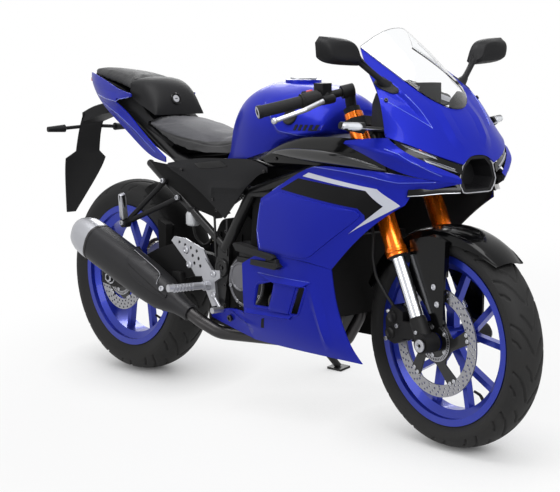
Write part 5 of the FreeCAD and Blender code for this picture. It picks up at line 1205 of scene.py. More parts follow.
def turned_part(point, facing, profile, segments=32):
    """A round part of (height, radius) standing on a point."""
    bm = bmesh.new()
    add_lathe(bm, profile, segments)
    turn = Vector((0, 1, 0)).rotation_difference(Vector(facing)).to_matrix().to_4x4()
    bm.transform(Matrix.Translation(Vector(point)) @ turn)
    return tidy(bm)


def on_panel(tree, side, x, z, profile, segments):
    """A round part of (height, radius) on a surface that is seen from the side."""
    point, normal = touch(tree, "side", side, x, z)
    return turned_part(point, normal, profile, segments)


def prism(outline, side, inner, outer):
    """A plate drawn in (x, z) between two distances from the middle of the machine."""
    return skin([[(x, side * y, z) for x, z in outline] for y in (inner, outer)])


def tube(points, radius, sides):
    return tidy(add_tube(bmesh.new(), points, radius, sides))


# The side fairing: hexagon that stands out, dark band above it, arrow stripe round the band
HEXAGON = ((836, 631), (820, 548), (838, 497), (1024, 492), (1052, 495), (1238, 622), (1227, 636), (918, 664))
BAND = ((917, 671), (992, 706), (1259, 690), (1303, 651), (1246, 612), (1248, 625), (1231, 642))
STRIPE = ((1010, 713), (1035, 724), (1294, 697), (1348, 655), (1222, 590), (1191, 572), (1304, 652),
          (1259, 691))


def fairing_relief(tree):
    laid("fairing_hexagon", "side_fairings", "blue_paint",
         [patch(tree, "side", side, rounded(HEXAGON, 12, 3), 0.0, 4.2) for side in BOTH], 1.8)
    laid("fairing_band", "side_fairings", "band_black",
         [patch(tree, "side", side, BAND, 0.2, 0.7, 8) for side in BOTH])
    laid("fairing_stripe", "side_fairings", "white_stripe",
         [patch(tree, "side", side, STRIPE, 0.3, 0.8, 8) for side in BOTH])


# The lower fairing: lip over the windows, raised plate between them and strip below
BELLY_PLATE = ((909, 411), (999, 409), (953, 326), (871, 330), (892, 368))
BELLY_WINDOWS = (((824, 393), (904, 413), (867, 334), (803, 332)),
                 ((1003, 407), (1032, 408), (986, 328), (957, 327)))
# A slot in the lower fairing, not cut through: a thin matt black patch stands for it, painted shade of the opening
BELLY_SLOT = ((822, 293), (836, 297), (821, 265), (806, 264))


def belly_relief(tree):
    parts = []
    for side in BOTH:
        parts.append(facet(tree, "side", side,
                           ((822, 428, 1), (1051, 425, 1), (1024, 411, 11), (905, 411, 11))))
        parts.append(patch(tree, "side", side, BELLY_PLATE, 0.0, 6.0))
        parts.append(facet(tree, "side", side, ((757, 318, 0), (968, 325, 0), (957, 314, 9), (760, 306, 9))))
        for window in BELLY_WINDOWS:
            middle = sum((Vector(corner) for corner in window), Vector((0, 0))) / len(window)
            loop = [Vector(corner) + (Vector(corner) - middle).normalized() * 6
                    for corner in rounded(window, 14, 4)]
            edge = [touch(tree, "side", side, x, z)[0] for x, z in loop]
            parts.append(tube(edge + edge[:2], 3.2, 8))
        parts.append(facet(tree, "side", side, ((760, 306, 9), (957, 314, 9), (952, 308, 0), (764, 300, 0))))
        parts.append(facet(tree, "side", side,
                           ((905, 411, 11), (1024, 411, 11), (1012, 405, 2), (908, 405, 2))))
    laid("belly_relief", "belly_fairings", "blue_paint", parts, 1.0)
    # Painted shade: thin black patches where the slots would open
    laid("belly_slots", "belly_fairings", "matt_black",
         [patch(tree, "side", side, BELLY_SLOT, 0.2, 0.3) for side in BOTH])


# Air outlets between the side fairing and the frame: outline (x, z), distance out at the rear and front ends
OUTLETS = (
    (((668, 490), (700, 500), (905, 488), (918, 480), (905, 473), (716, 478)), 172, 236),
    (((690, 480), (926, 476), (930, 454), (712, 454)), 162, 233),
    (((690, 456), (712, 446), (924, 448), (942, 458), (928, 467), (712, 461)), 172, 240),
)


def side_outlets():
    parts = []
    for side in BOTH:
        for outline, rear, front in OUTLETS:
            low, high = min(x for x, _ in outline), max(x for x, _ in outline)
            face = [(x, rear + (front - rear) * ((x - low) / (high - low)) ** 0.5, z) for x, z in outline]
            parts.append(skin([[(x, side * (out - depth), z) for x, out, z in face] for depth in (30, 0)]))
    laid("side_outlets", "side_fairings", "satin_black", parts, 1.2)


# Nose: side panels, lamp strips and the duct's trim
COWL_SIDE = ((1212, 856), (1300, 846), (1290, 900), (1262, 938), (1238, 942), (1218, 915))
MIRROR_SEAT = ((1236, 985), (1262, 972), (1297, 950), (1300, 942), (1290, 940), (1256, 956), (1236, 970))


def cowl_sides(tree):
    """Pads below the mirrors, and black panels between the cowl's rear edge and the covers below."""
    laid("mirror_seats", "front_cowl", "satin_black",
         [patch(tree, "side", side, rounded(MIRROR_SEAT, 9, 3), 0.2, 2.2, 8) for side in BOTH], 0.8)
    sheets = [skin([[(x, side * (157 + (x - 1228) * 0.36 - depth), z) for x, z in COWL_SIDE]
                    for depth in (5, 0)])
              for side in BOTH]
    laid("cowl_sides", "front_cowl", "satin_black", sheets, 1.0)


# Lamp strips as seen from the front: upper and lower, each from its outer to its inner end
LAMP_STRIPS = (((194, 812), (132, 783), (128, 777), (172, 796)),
               ((160, 778), (86, 749), (80, 742), (154, 770)))


def headlamp_strips(tree):
    """Ribbed light strips behind the lamp's dark cover."""
    ribs, bars = [], []
    for side in BOTH:
        for (y0, z0), (y1, z1), (y2, z2), (y3, z3) in LAMP_STRIPS:
            count = 15
            for k in range(count):
                s, t = (k + 0.10) / count, (k + 0.90) / count
                corners = [(y0 + (y1 - y0) * s, z0 + (z1 - z0) * s, 1.2),
                           (y0 + (y1 - y0) * t, z0 + (z1 - z0) * t, 1.2),
                           (y3 + (y2 - y3) * t, z3 + (z2 - z3) * t, 2.0),
                           (y3 + (y2 - y3) * s, z3 + (z2 - z3) * s, 2.0)]
                ribs.append(facet(tree, "end", side, corners, 20))
            bars.append(facet(tree, "end", side, ((y0 + 2, z0 + 4, 1), (y1 - 2, z1 + 3, 1), (y1, z1 + 1, 3),
                                                  (y0, z0 + 1, 3)), 20))
    laid("lamp_ribs", "headlights", "lamp_grey", ribs)
    laid("lamp_bars", "headlights", "silver", bars)


def duct_trim():
    """A bright line round the mouth of the nose duct, and the winglets below it."""
    rim = [(50, 768), (58, 759), (71, 722), (66, 706), (54, 690), (44, 688), (0, 688)]
    laid("duct_trim", "nose_duct", "silver",
         [tube([(1453, side * y, z) for y, z in rim], 1.6, 8) for side in BOTH])
    stations = ((1452, 62, 712, 690), (1424, 104, 712, 689), (1392, 150, 712, 684), (1368, 170, 704, 682))
    winglets, lines = [], []
    for side in BOTH:
        winglets.append(skin([[(x, side * y, high), (x - 6, side * (y - 3), high),
                               (x - 4, side * (y + 2), low - 2), (x + 4, side * (y + 7), low - 2),
                               (x + 4, side * (y + 7), low + 1)]
                              for x, y, high, low in stations]))
        lines.append(tube([(x + 4, side * (y + 7), low) for x, y, _, low in stations], 1.2, 8))
    laid("chin_winglets", "nose_duct", "gloss_black", winglets)
    laid("chin_lines", "nose_duct", "silver", lines)


SIGNAL = ((264, 851), (309, 848), (314, 860), (309, 871), (264, 870), (260, 861))


def signal_lenses():
    tree = surface(frame["nodes"]["front_signals"])
    laid("signal_rims", "front_signals", "silver",
         [patch(tree, "end", side, rounded(SIGNAL, 12, 4), 0.1, 1.2, 8) for side in BOTH], 0.4)
    inner = [(287 + (y - 287) * 0.86, 860 + (z - 860) * 0.72) for y, z in SIGNAL]
    laid("signal_lenses", "front_signals", "lens_white",
         [patch(tree, "end", side, rounded(inner, 9, 4), 1.2, 1.8, 8) for side in BOTH], 0.6)


# The silencer: (along, half width, half height) from its front end
SILENCER = ((0, 25, 25), (30, 27, 27), (55, 30, 30), (90, 37, 42), (130, 46, 53), (215, 51, 60),
            (330, 53, 61), (440, 53.4, 60.6), (478, 53.2, 60))
END_CAP = ((474, 54.5, 61.5), (500, 54, 60.5), (525, 52.5, 58), (545, 48, 52), (557, 43, 46), (560, 38, 41))
SILENCER_FRONT, SILENCER_REAR = Vector((478, -174, 261)), Vector((-34, -214, 470))
SHIELD = ((246, 398), (227, 428), (262, 421), (318, 397), (358, 370), (372, 344), (412, 315), (406, 300),
          (290, 345), (258, 370))


def silencer_place():
    along = (SILENCER_REAR - SILENCER_FRONT).normalized()
    across = (Vector((0, 1, 0)) - along * along.y).normalized()
    turn = Matrix((along, across, along.cross(across))).transposed().to_4x4()
    return Matrix.Translation(SILENCER_FRONT) @ turn


def can_rings(stations):
    """Rings of a boxy oval, one for each (along, half width, half height)."""
    def squared(value):
        return math.copysign(abs(value) ** (2 / 2.5), value)

    turns = [2 * math.pi * k / 48 for k in range(48)]
    return [[(along, squared(math.cos(a)) * wide, squared(math.sin(a)) * tall) for a in turns]
            for along, wide, tall in stations]


def silencer():
    """The can with its end cap, outlet, heat shield, seam, strap and bolt."""
    place = MACHINE @ silencer_place()
    can = shaded(placed_mesh("silencer_can", skin(can_rings(SILENCER)), place), 40)
    dressed(can, "muffler_black", "chassis", "muffler")
    cap = skin(can_rings(END_CAP) + can_rings(((560, 30, 33), (552, 27, 30), (530, 24, 26))))
    laid("silencer_cap", "muffler", "silver", [cap], place=place, angle=40)
    outlet = bmesh.new()
    add_lathe(outlet, [(505, 17), (576, 17), (578, 18), (580, 20), (578, 22), (505, 22)], 36)
    outlet.transform(Matrix(((0, 1, 0, 0), (1, 0, 0, 0), (0, 0, 1, 0), (0, 0, 0, 1))))
    laid("silencer_outlet", "muffler", "dark_steel", [tidy(outlet)], place=place, angle=40)
    tree = surface(can)
    laid("silencer_shield", "muffler", "muffler_black",
         [patch(tree, "side", RIGHT, rounded(SHIELD, 8, 2), 0.5, 4, 10)], 1.2)
    for name, finish_name, line, height, radius in (
            ("silencer_shield_line", "silver",
             ((229, 429), (262, 422), (318, 398), (357, 371), (369, 352), (372, 342)), 4.2, 0.9),
            ("silencer_fold", "satin_black", ((250, 394), (310, 362), (366, 332), (408, 308)), 4.0, 1.6)):
        met = [touch(tree, "side", RIGHT, x, z) for x, z in line]
        bead = smooth_path([point + normal * height for point, normal in met], 4)
        laid(name, "muffler", finish_name, [tube(bead, radius, 6)])
    seam = skin(can_rings(((466, 54.4, 61.4), (474, 54.4, 61.4))))
    laid("silencer_seam", "muffler", "dark_steel", [seam], place=place, angle=40)
    strap = prism(rounded([(350, 374), (390, 374), (398, 322), (354, 312)], 6), RIGHT, 128.3, 148)
    laid("silencer_strap", "muffler", "satin_black", [strap], 1.0)
    point, normal = touch(tree, "side", RIGHT, 391, 330)
    scattered("silencer_bolts", [carried_spot(MACHINE, point + normal * 3.5, normal, 17)], SOCKET_BOLT,
              "silver", "chassis", "muffler")


# Fork tubes: how far ahead of the steering axis they run, and how far from the middle
TUBE_AHEAD, TUBE_OUT = 30, 95


def fork_parts():
    """Seal rings, wipers and top caps of the fork."""
    gold, black, silver = [], [], []
    for side in BOTH:
        foot = fork_point(TUBE_AHEAD, side * TUBE_OUT, 552)
        gold.append(turned_part(foot, FORK_UP,
                                [(0, 26.5), (0, 28.4), (1.5, 29.6), (10, 29.6), (11.5, 28.6), (13, 29.2),
                                 (22, 29.2), (24, 27.6), (25.5, 26.3), (25.5, 25)], 48))
        black.append(turned_part(foot - FORK_UP * 6, FORK_UP,
                                 [(0, 18.8), (0, 22), (2, 24.4), (6.2, 24.8), (6.2, 18.8)], 40))
        for level, radius in ((372, 22.2), (376, 21.4)):
            black.append(turned_part(fork_point(TUBE_AHEAD, side * TUBE_OUT, level), FORK_UP,
                                     [(0, 18.8), (0, radius), (3, radius), (4, radius - 1), (4, 18.8)], 40))
        silver.append(turned_part(fork_point(TUBE_AHEAD, side * TUBE_OUT, 961), FORK_UP,
                                  [(0, 0), (0, 19), (5, 19), (6.5, 17.5), (6.5, 0)], 6))
        gold.append(turned_part(fork_point(TUBE_AHEAD, side * TUBE_OUT, 963), FORK_UP,
                                [(0, 0), (0, 12), (7, 12), (8, 11), (8, 0)], 24))
    laid("fork_seal_rings", "fork_outers", "gold", gold, place=FORK)
    laid("fork_wipers", "fork_inners", "satin_black", black, place=FORK)
    laid("fork_caps", "fork_outers", "silver", silver, place=FORK)


def fork_bolts():
    """Bolts of the fender's stays, front caliper and fork feet, the caliper's pistons and the axle's caps."""
    fender = surface(frame["nodes"]["front_fender"], place=FORK)
    spots = [carried_spot(FORK, *touch(fender, "side", side, x, z), 17)
             for side in BOTH for x, z in ((1386, 441), (1398, 396))]
    scattered("fender_bolts", spots, BUTTON, "silver", "steering", "front_fender")
    caliper = surface(frame["nodes"]["front_caliper"], place=FORK)
    piston = [(-2, 0), (3, 0), (3.4, 11), (5, 14), (5, 16), (3, 17), (-2, 17)]
    pistons = [on_panel(caliper, RIGHT, x, z, piston, 32) for x, z in ((1243, 345), (1234, 300))]
    laid("caliper_pistons", "front_caliper", "frame_black", pistons, place=FORK)
    spots = [carried_spot(FORK, *touch(caliper, "side", RIGHT, x, z), 12)
             for x, z in ((1262, 322), (1222, 362), (1218, 282))]
    feet = surface(frame["nodes"]["fork_feet"], place=FORK)
    spots += [carried_spot(FORK, *touch(feet, "side", side, x, z), 10)
              for side in BOTH for x, z in ((1362, 322), (1372, 300))]
    scattered("fork_bolts", spots, SOCKET_BOLT, "silver", "steering", "front_caliper")
    caps = []
    for side in BOTH:
        point, normal = touch(feet, "side", side, 1380, 293)
        caps.append(turned_part(point - normal * 0.5, normal,
                                [(0, 5), (0, 17), (3, 17), (4.5, 15), (4.5, 9), (2, 8), (2, 5)], 32))
    laid("front_axle_caps", "fork_feet", "silver", caps, place=FORK)


def engine_parts():
    """Rings, disc and bolts of the engine's covers."""
    rings = []
    for x, z, y, radius in ((700, 380, 145, 76), (688, 396, 157, 44), (818, 330, 135, 31)):
        middle = Vector((x, -y, z))
        rings.append(turned_part(middle, (0, -1, 0), [(-3, radius - 8), (0.4, radius - 8), (3, radius - 6),
                                                      (3, radius - 2), (0, radius), (-3, radius)], 64))
    middle = Vector((688, -157, 396))
    rings.append(turned_part(middle, (0, -1, 0),
                             [(-1, 0), (2.4, 0), (3.2, 12), (3.0, 30), (1.2, 36), (-1, 36)], 56))
    laid("clutch_cover_rings", "engine", "cover_grey", rings)
    spots = [carried_spot(MACHINE, (700 + 70 * math.cos(a), -145, 380 + 70 * math.sin(a)), (0, -1, 0), 11)
             for a in (2 * math.pi * (k + 0.3) / 8 for k in range(8))]
    spots += [carried_spot(MACHINE, (x, -107, z), (0, -1, 0), 12)
              for x, z in ((640, 345), (664, 300), (632, 300), (612, 330), (760, 300), (860, 330),
                           (850, 290))]
    scattered("engine_cover_bolts", spots, SOCKET_BOLT, "silver", "chassis", "engine")


def frame_parts():
    """Pivot caps, plate webs and bolts of the frame."""
    caps, webs, spots = [], [], []
    plate_face = 144.5
    for side in BOTH:
        caps.append(turned_part((590, side * plate_face, 410), (0, side, 0),
                                [(-1, 0), (2, 0), (2, 9), (4, 10), (5, 13), (5, 19), (7, 21), (7, 26),
                                 (4, 28), (-1, 28)], 40))
        caps.append(turned_part((590, side * plate_face, 410), (0, side, 0),
                                [(0, 0), (6, 0), (6, 6.5), (0, 6.5)], 6))
        for height, web in ((3, [(552, 560), (560, 562), (566, 440), (558, 440)]),
                            (3, [(610, 560), (618, 556), (616, 446), (608, 446)]),
                            (2, [(556, 382), (564, 384), (560, 250), (552, 250)])):
            webs.append(prism(rounded(web, 3), side, plate_face - 1, plate_face + height))
        spots += [carried_spot(MACHINE, (x, side * plate_face, z), (0, side, 0), 11)
                  for x, z in ((610, 520), (566, 580), (604, 300), (580, 270), (606, 360))]
    laid("pivot_caps", "main_frame", "frame_black", caps)
    laid("frame_webs", "main_frame", "frame_black", webs, 1.0)
    scattered("frame_bolts", spots, SOCKET_BOLT, "dark_steel", "chassis", "main_frame")


def airbox():
    """The air box between the frame tubes, with its clips, intake boots and hoses."""
    shell = [(612, 640), (700, 716), (900, 712), (950, 640), (905, 566), (690, 560)]
    box = [prism(rounded(shell, 24, 4), 1, -84, 84)]
    for side in BOTH:
        for x in (700, 790, 880):
            clip = [(x - 9, 660), (x + 9, 660), (x + 7, 634), (x - 7, 634)]
            box.append(prism(rounded(clip, 3), side, 82, 91))
        boot = [(700, side * 46, 580), (690, side * 48, 540), (706, side * 50, 500)]
        box.append(tube(smooth_path(boot, 5), 24, 20))
        hose = [(960, side * 120, 520), (900, side * 116, 560), (820, side * 112, 560),
                (760, side * 110, 500)]
        box.append(tube(smooth_path(hose, 6), 13, 14))
    laid("airbox", "engine", "matt_black", box, 2.5)


def inner_guards():
    """Black guards between the rear suspension and the engine, and behind the side fairings."""
    low = [(405, 215), (428, 468), (470, 538), (600, 560), (655, 500), (655, 232), (600, 196)]
    ahead = [(690, 470), (846, 470), (832, 640), (770, 690), (704, 640)]
    high = [(212, 706), (330, 698), (470, 644), (604, 572), (540, 552), (456, 568), (360, 604), (280, 656)]
    sheets = []
    for side in BOTH:
        sheets.append(prism(rounded(low, 20, 4), side, 44, 47))
        for x in (450, 500, 550):
            rib = [(x, 250), (x + 8, 250), (x + 22, 500), (x + 14, 500)]
            sheets.append(prism(rounded(rib, 3), side, 46, 52))
        sheets.append(prism(rounded(ahead, 12, 3), side, 118, 121))
        sheets.append(prism(high, side, 121, 124))
    laid("inner_guards", "main_frame", "matt_black", sheets, 1.0)


def hump_parts(tree):
    """Lock on the seat hump, with its collar."""
    point, normal, _, _ = tree.find_nearest(Vector((204, -10, 898)))
    collar = turned_part(point - normal, normal, [(0, 14), (0, 19), (2.2, 19.5), (3.4, 18), (2.6, 14)], 36)
    face = turned_part(point - normal, normal, [(0, 0), (3.4, 0), (3.8, 6), (3.0, 11.5), (0, 12.2)], 36)
    laid("lock_collar", "seat_hump", "gloss_black", [collar])
    laid("lock_face", "seat_hump", "silver", [face])
    key = normal.cross(Vector((0, 0, 1))).normalized()
    rise = key.cross(normal)
    # A matt black bar across the lock's face: painted shade of the keyway
    slot = skin([[point + key * u + rise * v + normal * h
                  for u, v in ((-5, -1.2), (5, -1.2), (5, 1.2), (-5, 1.2))]
                 for h in (2.0, 3.1)])
    laid("lock_slot", "seat_hump", "matt_black", [slot])


def tank_parts(tree):
    """The tank's filler ring, a plain round boss on each side, and thin black patches, painted shade of slots, in
    its scoops.
    """
    ring = turned_part((786, 0, 967.2), (0, 0, 1),
                       [(-1, 40), (-0.2, 40), (0.6, 41), (0.6, 49), (-0.4, 51), (-1, 51)], 72)
    laid("filler_ring", "fuel_tank", "silver", [ring])
    boss = [on_panel(tree, side, 905, 868,
                     [(-2, 0), (1.4, 0), (1.6, 15), (2.8, 17), (2.8, 21), (1, 23), (-2, 23)], 40)
            for side in BOTH]
    laid("tank_bosses", "fuel_tank", "satin_black", boss)
    # Thin black patches on the paint: painted shade where slots would be
    slots = [patch(tree, "side", side, ((x, 848), (x + 8, 848), (x + 4, 832), (x - 4, 832)), 0.2, 1.0, 8)
             for side in BOTH for x in range(930, 1028, 14)]
    laid("tank_scoop_slots", "fuel_tank", "satin_black", slots)


# Bulge of the upper covers: x, level of its middle, half its width and its height
CRESCENT = ((862, 768, 1, 0.5), (900, 770, 8, 5), (960, 771, 15, 10), (1050, 769, 18, 13),
            (1150, 765, 17, 13), (1230, 758, 13, 10), (1290, 751, 8, 6), (1322, 747, 1, 0.5))


def cover_parts(tree_side, tree_upper):
    """Glossy insets of the side covers and the bulges of the upper ones."""
    inset = rounded(((452, 712), (585, 729), (630, 714), (542, 702), (486, 700)), 8, 3)
    glossy = [patch(tree_side, "side", side, inset, 0.1, 1.0) for side in BOTH]
    laid("side_cover_insets", "side_covers", "gloss_black", glossy, 0.4)
    crescent = []
    for side in BOTH:
        line = smooth_path([(x, z, tall, bulge) for x, z, tall, bulge in CRESCENT], 5)
        rings = []
        for x, z, tall, bulge in line:
            point, normal = touch(tree_upper, "side", side, x, z)
            rise = (Vector((0, 0, 1)) - normal * normal.z).normalized()
            rings.append([point + rise * tall * math.cos(a) + normal * (bulge * math.sin(a) - 0.5)
                          for a in (math.pi * k / 12 for k in range(13))] + [point - normal * 4])
        crescent.append(skin(rings))
    laid("crescent_covers", "upper_covers", "crescent_black", crescent, angle=60)


# Lengths along the bar: what closes its end, the grip, and the gap behind it
BAR_END, GRIP, GRIP_GAP = 12.4, 118, 0.4


def control_parts():
    """Kill switch, buttons, collars of the grips and the rings at the bar ends."""
    root, end = Vector((1100, 112, 948)), Vector((1002, 350, 898))
    way = (end - root).normalized()
    length = (end - root).length
    rings, red, black = [], [], []
    for side in BOTH:
        heading = Vector((way.x, side * way.y, way.z))
        tip = Vector((end.x, side * end.y, end.z))
        start = Vector((root.x, side * root.y, root.z))
        rings.append(turned_part(tip, heading,
                                 [(-3, 8.5), (0.5, 8.5), (1.4, 10), (1.4, 14), (0, 16), (-3, 16)], 36))
        grip_end = length - BAR_END - GRIP - GRIP_GAP
        for k in range(5):
            black.append(turned_part(start + heading * (grip_end + 2 + k * 1.0), heading,
                                     [(-0.5, 14), (-0.5, 18.5 - k * 0.2), (0.3, 18.5 - k * 0.2), (0.3, 14)],
                                     32))
        switch = start + heading * (grip_end - 22)
        face = Vector((-0.35, 0, 0.94)).normalized()
        target = red if side == RIGHT else black
        beside = heading.cross(face).normalized()
        for shift, width in ((0, 9), (16, 6)):
            spot = switch + heading * shift
            part = skin([[spot + heading * u * s + beside * v * s + face * h
                          for u, v in ((-width, -5), (width, -5), (width, 5), (-width, 5))]
                         for h, s in ((18, 1.0), (24, 1.0), (26.5, 0.8))])
            (target if shift == 0 else black).append(part)
    laid("bar_end_rings", "handlebars", "silver", rings, place=FORK)
    laid("kill_switch", "hand_controls", "red_plastic", red, 0.8, place=FORK)
    laid("control_buttons", "hand_controls", "satin_black", black, 0.5, place=FORK)


def mirror_faces():
    """Silvered glass in the rear faces of the mirrors."""
    rear = ((212, 1022), (226, 1012), (338, 1018), (360, 1036), (364, 1072), (350, 1088), (252, 1084),
            (226, 1062))
    glass = []
    for side in BOTH:
        shrunk = [(side * (292 + (y - 292) * 0.9), 1052 + (z - 1052) * 0.88) for y, z in rear]
        glass.append(skin([[(x, y, z) for y, z in rounded(shrunk, 14, 4)] for x in (1223, 1220.6)]))
    laid("mirror_glass", "mirrors", "mirror_glass", glass, 0.5)


def rest_parts():
    """Bolts of the footrest brackets and ribs round the pegs."""
    spots, ribs = [], []
    for side in BOTH:
        for x, z, width, y in ((425, 449, 24, 150), (440, 405, 24, 150), (561, 390, 22, 155),
                               (561, 326, 22, 155)):
            spots.append(carried_spot(MACHINE, (x, side * y, z), (0, side, 0), width))
        a, b = Vector((528, side * 196, 352)), Vector((512, side * 280, 350))
        for k in range(7):
            spot = a.lerp(b, 0.12 + 0.12 * k)
            ribs.append(turned_part(spot, (b - a).normalized(),
                                    [(-1.6, 4), (-1.6, 11.5), (1.6, 11.5), (1.6, 4)], 20))
    scattered("footrest_bolts", spots, BUTTON, "silver", "chassis", "footrests")
    laid("footrest_ribs", "footrests", "silver", ribs)


def rear_parts():
    """Brake fluid bottle and its hose, passenger pegs, bolts of their brackets, and the axle's nuts."""
    bottle = turned_part((418, -118, 520), (0.05, 0, 1),
                         [(0, 0), (0, 17), (4, 21), (34, 22), (40, 20), (44, 14), (44, 0)], 32)
    cap = turned_part((420, -118, 564), (0.05, 0, 1), [(0, 0), (0, 19), (10, 19), (13, 17), (13, 0)], 24)
    laid("fluid_bottle", "main_frame", "bottle_white", [bottle])
    laid("fluid_bottle_cap", "main_frame", "satin_black", [cap])
    hose = smooth_path([(419, -118, 522), (424, -112, 486), (446, -104, 462), (470, -96, 470),
                        (488, -92, 500)], 6)
    laid("fluid_hose", "main_frame", "hose_rubber", [tube(hose, 4.2, 10)])
    pegs = []
    for side in BOTH:
        foot = Vector((168, side * 186, 512))
        low, high = foot + Vector((3, side * 10, 14)), foot + Vector((26, side * 34, 94))
        way = (high - low).normalized()
        flat = way.cross(Vector((0, side, 0))).normalized()
        pegs.append(skin([[low.lerp(high, t) + flat * u * s + flat.cross(way) * v
                           for u, v in ((-11, -9), (11, -9), (11, 10), (-11, 10))]
                          for t, s in ((0, 0.7), (0.1, 1.0), (0.9, 0.8), (1.0, 0.6))]))
    laid("passenger_pegs", "passenger_footrests", "silver", pegs, 2.0)
    spots = [carried_spot(MACHINE, (x, side * y, z), (0, side, 0), width) for side in BOTH
             for x, z, y, width in ((380, 604, 146, 16), (300, 650, 140, 16), (168, 512, 200, 16),
                                    (62, 326, 129, 22), (28, 326, 128.5, 10))]
    scattered("rear_bolts", spots, SOCKET_BOLT, "silver", "chassis", "swingarm")
    nuts = []
    for side in BOTH:
        nuts.append(turned_part((0, side * 138, REAR_RADIUS), (0, side, 0),
                                [(-8, 6), (-8, 17), (1, 17), (2.5, 15), (2.5, 6)], 6))
        nuts.append(turned_part((0, side * 128, REAR_RADIUS), (0, side, 0),
                                [(-1, 6), (-1, 22), (2, 22), (2, 6)], 32))
    laid("rear_axle_nuts", "swingarm", "silver", nuts, 0.6)


# Screws that hold the panels: node, drawn place and width
SCREWS = (("front_cowl", 1316, 952, 11), ("belly_fairings", 651, 270, 20), ("side_covers", 396, 690, 11),
          ("side_covers", 812, 712, 10), ("side_covers", 560, 612, 9), ("upper_covers", 880, 752, 10))


def screws(trees):
    spots = [carried_spot(MACHINE, *touch(trees[node], "side", side, x, z), width)
             for side in BOTH for node, x, z, width in SCREWS]
    scattered("panel_screws", spots, SOCKET_BOLT, "dark_steel", "chassis", "front_cowl")


# Panel edges that catch the light, beaded in a lighter blue as a painted highlight: node, view, height above the
# panel and line, as drawn
EDGES = (
    ("side_fairings", "side", 0,
     ((872, 674), (1044, 742), (1190, 736), (1282, 728), (1356, 716), (1430, 719))),
    ("side_fairings", "side", 0, ((1330, 804), (1371, 792), (1412, 764), (1446, 735))),
    ("side_fairings", "side", 4.2, ((832, 626), (822, 550), (839, 500))),
    ("belly_fairings", "side", 0, ((826, 428), (1046, 425))),
    ("fuel_tank", "side", 0, ((784, 905), (838, 868), (873, 829), (946, 818), (1034, 812))),
    ("tail_wings", "side", 0, ((-140, 903), (-60, 893), (24, 885), (110, 902))),
    ("tail_wings", "side", 0, ((-90, 877), (24, 846), (150, 790), (250, 734))),
    ("front_cowl", "end", 0, ((130, 940), (120, 900), (111, 855))),
    ("front_cowl", "end", 0, ((184, 930), (148, 892), (111, 855))),
)


def panel_edges(trees):
    """Polished beads, half sunk, along the panels' folds and edges, in a lighter blue: a painted highlight."""
    for node in dict.fromkeys(edge[0] for edge in EDGES):
        beads = []
        for side in BOTH:
            for _, plane, lift, line in (edge for edge in EDGES if edge[0] == node):
                track = [Vector(a).lerp(Vector(b), k / 8) for a, b in zip(line, line[1:]) for k in range(8)]
                points = []
                for u, v in track + [Vector(line[-1])]:
                    sign, u, v = seen(plane, side, u, v)
                    point, normal = touch(trees[node], plane, sign, u, v)
                    spot = point + normal * (lift - 0.5)
                    if not points or (spot - points[-1]).length < 60:
                        points.append(spot)
                beads.append(tube(points, 1.4, 8))
        laid(node + "_edges", node, "edge_blue", beads, angle=60)


def bodywork_details(made):
    trees = {node: surface(panel) for node, panel in made.items() if BODY_OF[node] == "chassis"}
    fairing, belly = trees["side_fairings"], trees["belly_fairings"]
    fairing_relief(fairing)
    belly_relief(belly)
    side_outlets()
    cowl_sides(trees["front_cowl"])
    headlamp_strips(trees["headlights"])
    duct_trim()
    signal_lenses()
    silencer()
    fork_parts()
    engine_parts()
    frame_parts()
    airbox()
    inner_guards()
    fork_bolts()
    hump_parts(trees["seat_hump"])
    tank_parts(trees["fuel_tank"])
    cover_parts(trees["side_covers"], trees["upper_covers"])
    control_parts()
    mirror_faces()
    rest_parts()
    rear_parts()
    screws(trees)
    panel_edges(trees)


# ---------------------------------------------------------------------------------------------------------
# Camera, lamps and floor
# ---------------------------------------------------------------------------------------------------------


def look_from(obj, eye, aim, roll=0.0):
    back = (eye - aim).normalized()
    side = UPRIGHT.cross(back).normalized()
    turn = Matrix((side, back.cross(side), back)).transposed().to_4x4()
    obj.matrix_world = Matrix.Translation(eye) @ turn @ Matrix.Rotation(roll, 4, "Z")


def lamp(name, place, aim, width, height, power):
    light = bpy.data.lights.new(name, "AREA")
    light.shape, light.size, light.size_y, light.energy = "RECTANGLE", width, height, power
    look_from(linked(name, light), Vector(place), Vector(aim))


def background_rays(tree):
    """1 where the camera, a reflection or clear plastic shows what is behind, 0 where it only lights."""
    path = put(tree, "ShaderNodeLightPath").outputs
    shown = put(tree, "ShaderNodeMath", {0: path["Is Camera Ray"], 1: path["Is Glossy Ray"]},
                operation="MAXIMUM")
    return put(tree, "ShaderNodeMath", {0: shown.outputs[0], 1: path["Is Transmission Ray"]},
               operation="MAXIMUM").outputs[0]


# The camera's place and aim on the upright machine, its lens in millimetres and its roll in degrees
EYE, AIM, LENS, ROLL = Vector((4105, -3063, 1066)), Vector((685, 0, 472)), 99.9, 0.1


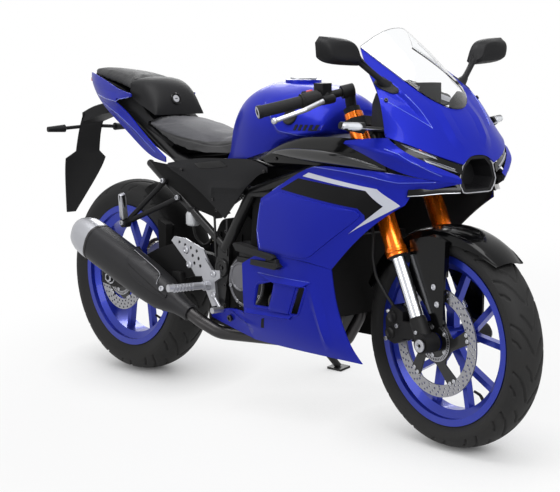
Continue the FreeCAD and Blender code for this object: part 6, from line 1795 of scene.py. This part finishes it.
def studio():
    """Camera, four soft lamps, a white surround and a floor that fades into it."""
    camera = linked("camera", bpy.data.cameras.new("camera"))
    camera.data.lens, camera.data.sensor_width = LENS, 36.0
    camera.data.clip_start, camera.data.clip_end = 0.1, 60.0
    look_from(camera, MACHINE @ EYE, MACHINE @ AIM, math.radians(ROLL))
    bpy.context.scene.camera = camera
    middle = (0, 0, 0.5)
    lamp("overhead", (0.2, -0.3, 3.6), middle, 3.0, 1.8, 95)
    lamp("front_high", (3.6, -0.9, 2.7), middle, 2.0, 1.6, 85)
    lamp("right_fill", (-0.6, -4.2, 1.8), middle, 2.4, 1.2, 28)
    lamp("behind_left", (-2.6, 2.8, 2.2), middle, 2.0, 1.6, 60)

    world = bpy.data.worlds.new("studio")
    bpy.context.scene.world = world
    world.use_nodes = True
    tree = world.node_tree
    tree.nodes.clear()
    shown = background_rays(tree)
    soft = put(tree, "ShaderNodeBackground", {"Color": (0.80, 0.82, 0.86, 1), "Strength": 0.30})
    white = put(tree, "ShaderNodeBackground", {"Color": (1, 1, 1, 1), "Strength": 1.0})
    either = put(tree, "ShaderNodeMixShader", {0: shown, 1: soft.outputs[0], 2: white.outputs[0]})
    put(tree, "ShaderNodeOutputWorld", {"Surface": either.outputs[0]})

    bm = bmesh.new()
    bmesh.ops.create_grid(bm, x_segments=8, y_segments=8, size=6000)
    floor = placed_mesh("floor", bm, MILLIMETRES)
    material = bpy.data.materials.new("floor_white")
    material.use_nodes = True
    tree = material.node_tree
    plain = tree.nodes["Principled BSDF"]
    for key, value in (("Base Color", (0.62, 0.62, 0.62, 1)), ("Roughness", 0.9),
                       ("Specular IOR Level", 0.0)):
        plain.inputs[key].default_value = value
    place = put(tree, "ShaderNodeTexCoord").outputs["Object"]
    away = put(tree, "ShaderNodeVectorMath", {0: place, 1: (0.0, 0.0, 0.0)},
               operation="DISTANCE").outputs["Value"]
    fade = put(tree, "ShaderNodeMapRange", {"Value": away, "From Min": 0.9, "From Max": 1.7, "To Min": 0.86},
               interpolation_type="SMOOTHSTEP").outputs[0]
    open_sky = put(tree, "ShaderNodeAmbientOcclusion", {"Distance": 0.22}, samples=4).outputs["AO"]
    open_share = put(tree, "ShaderNodeMath", {0: open_sky, 1: fade}, operation="MULTIPLY").outputs[0]
    share = put(tree, "ShaderNodeMath", {0: background_rays(tree), 1: open_share},
                operation="MULTIPLY").outputs[0]
    glow = put(tree, "ShaderNodeEmission", {"Color": (1, 1, 1, 1), "Strength": 1.0})
    either = put(tree, "ShaderNodeMixShader", {0: share, 1: plain.outputs[0], 2: glow.outputs[0]})
    tree.links.new(either.outputs[0], tree.nodes["Material Output"].inputs["Surface"])
    floor.data.materials.append(material)


kept_nodes()
panels = smoothed_panels()
bodywork_details(panels)
wheels()
chain()
seats()
studio()
for part in (SOCKET_BOLT, BUTTON):
    bpy.data.objects.remove(part)

bpy.context.scene.view_settings.view_transform = "Standard"
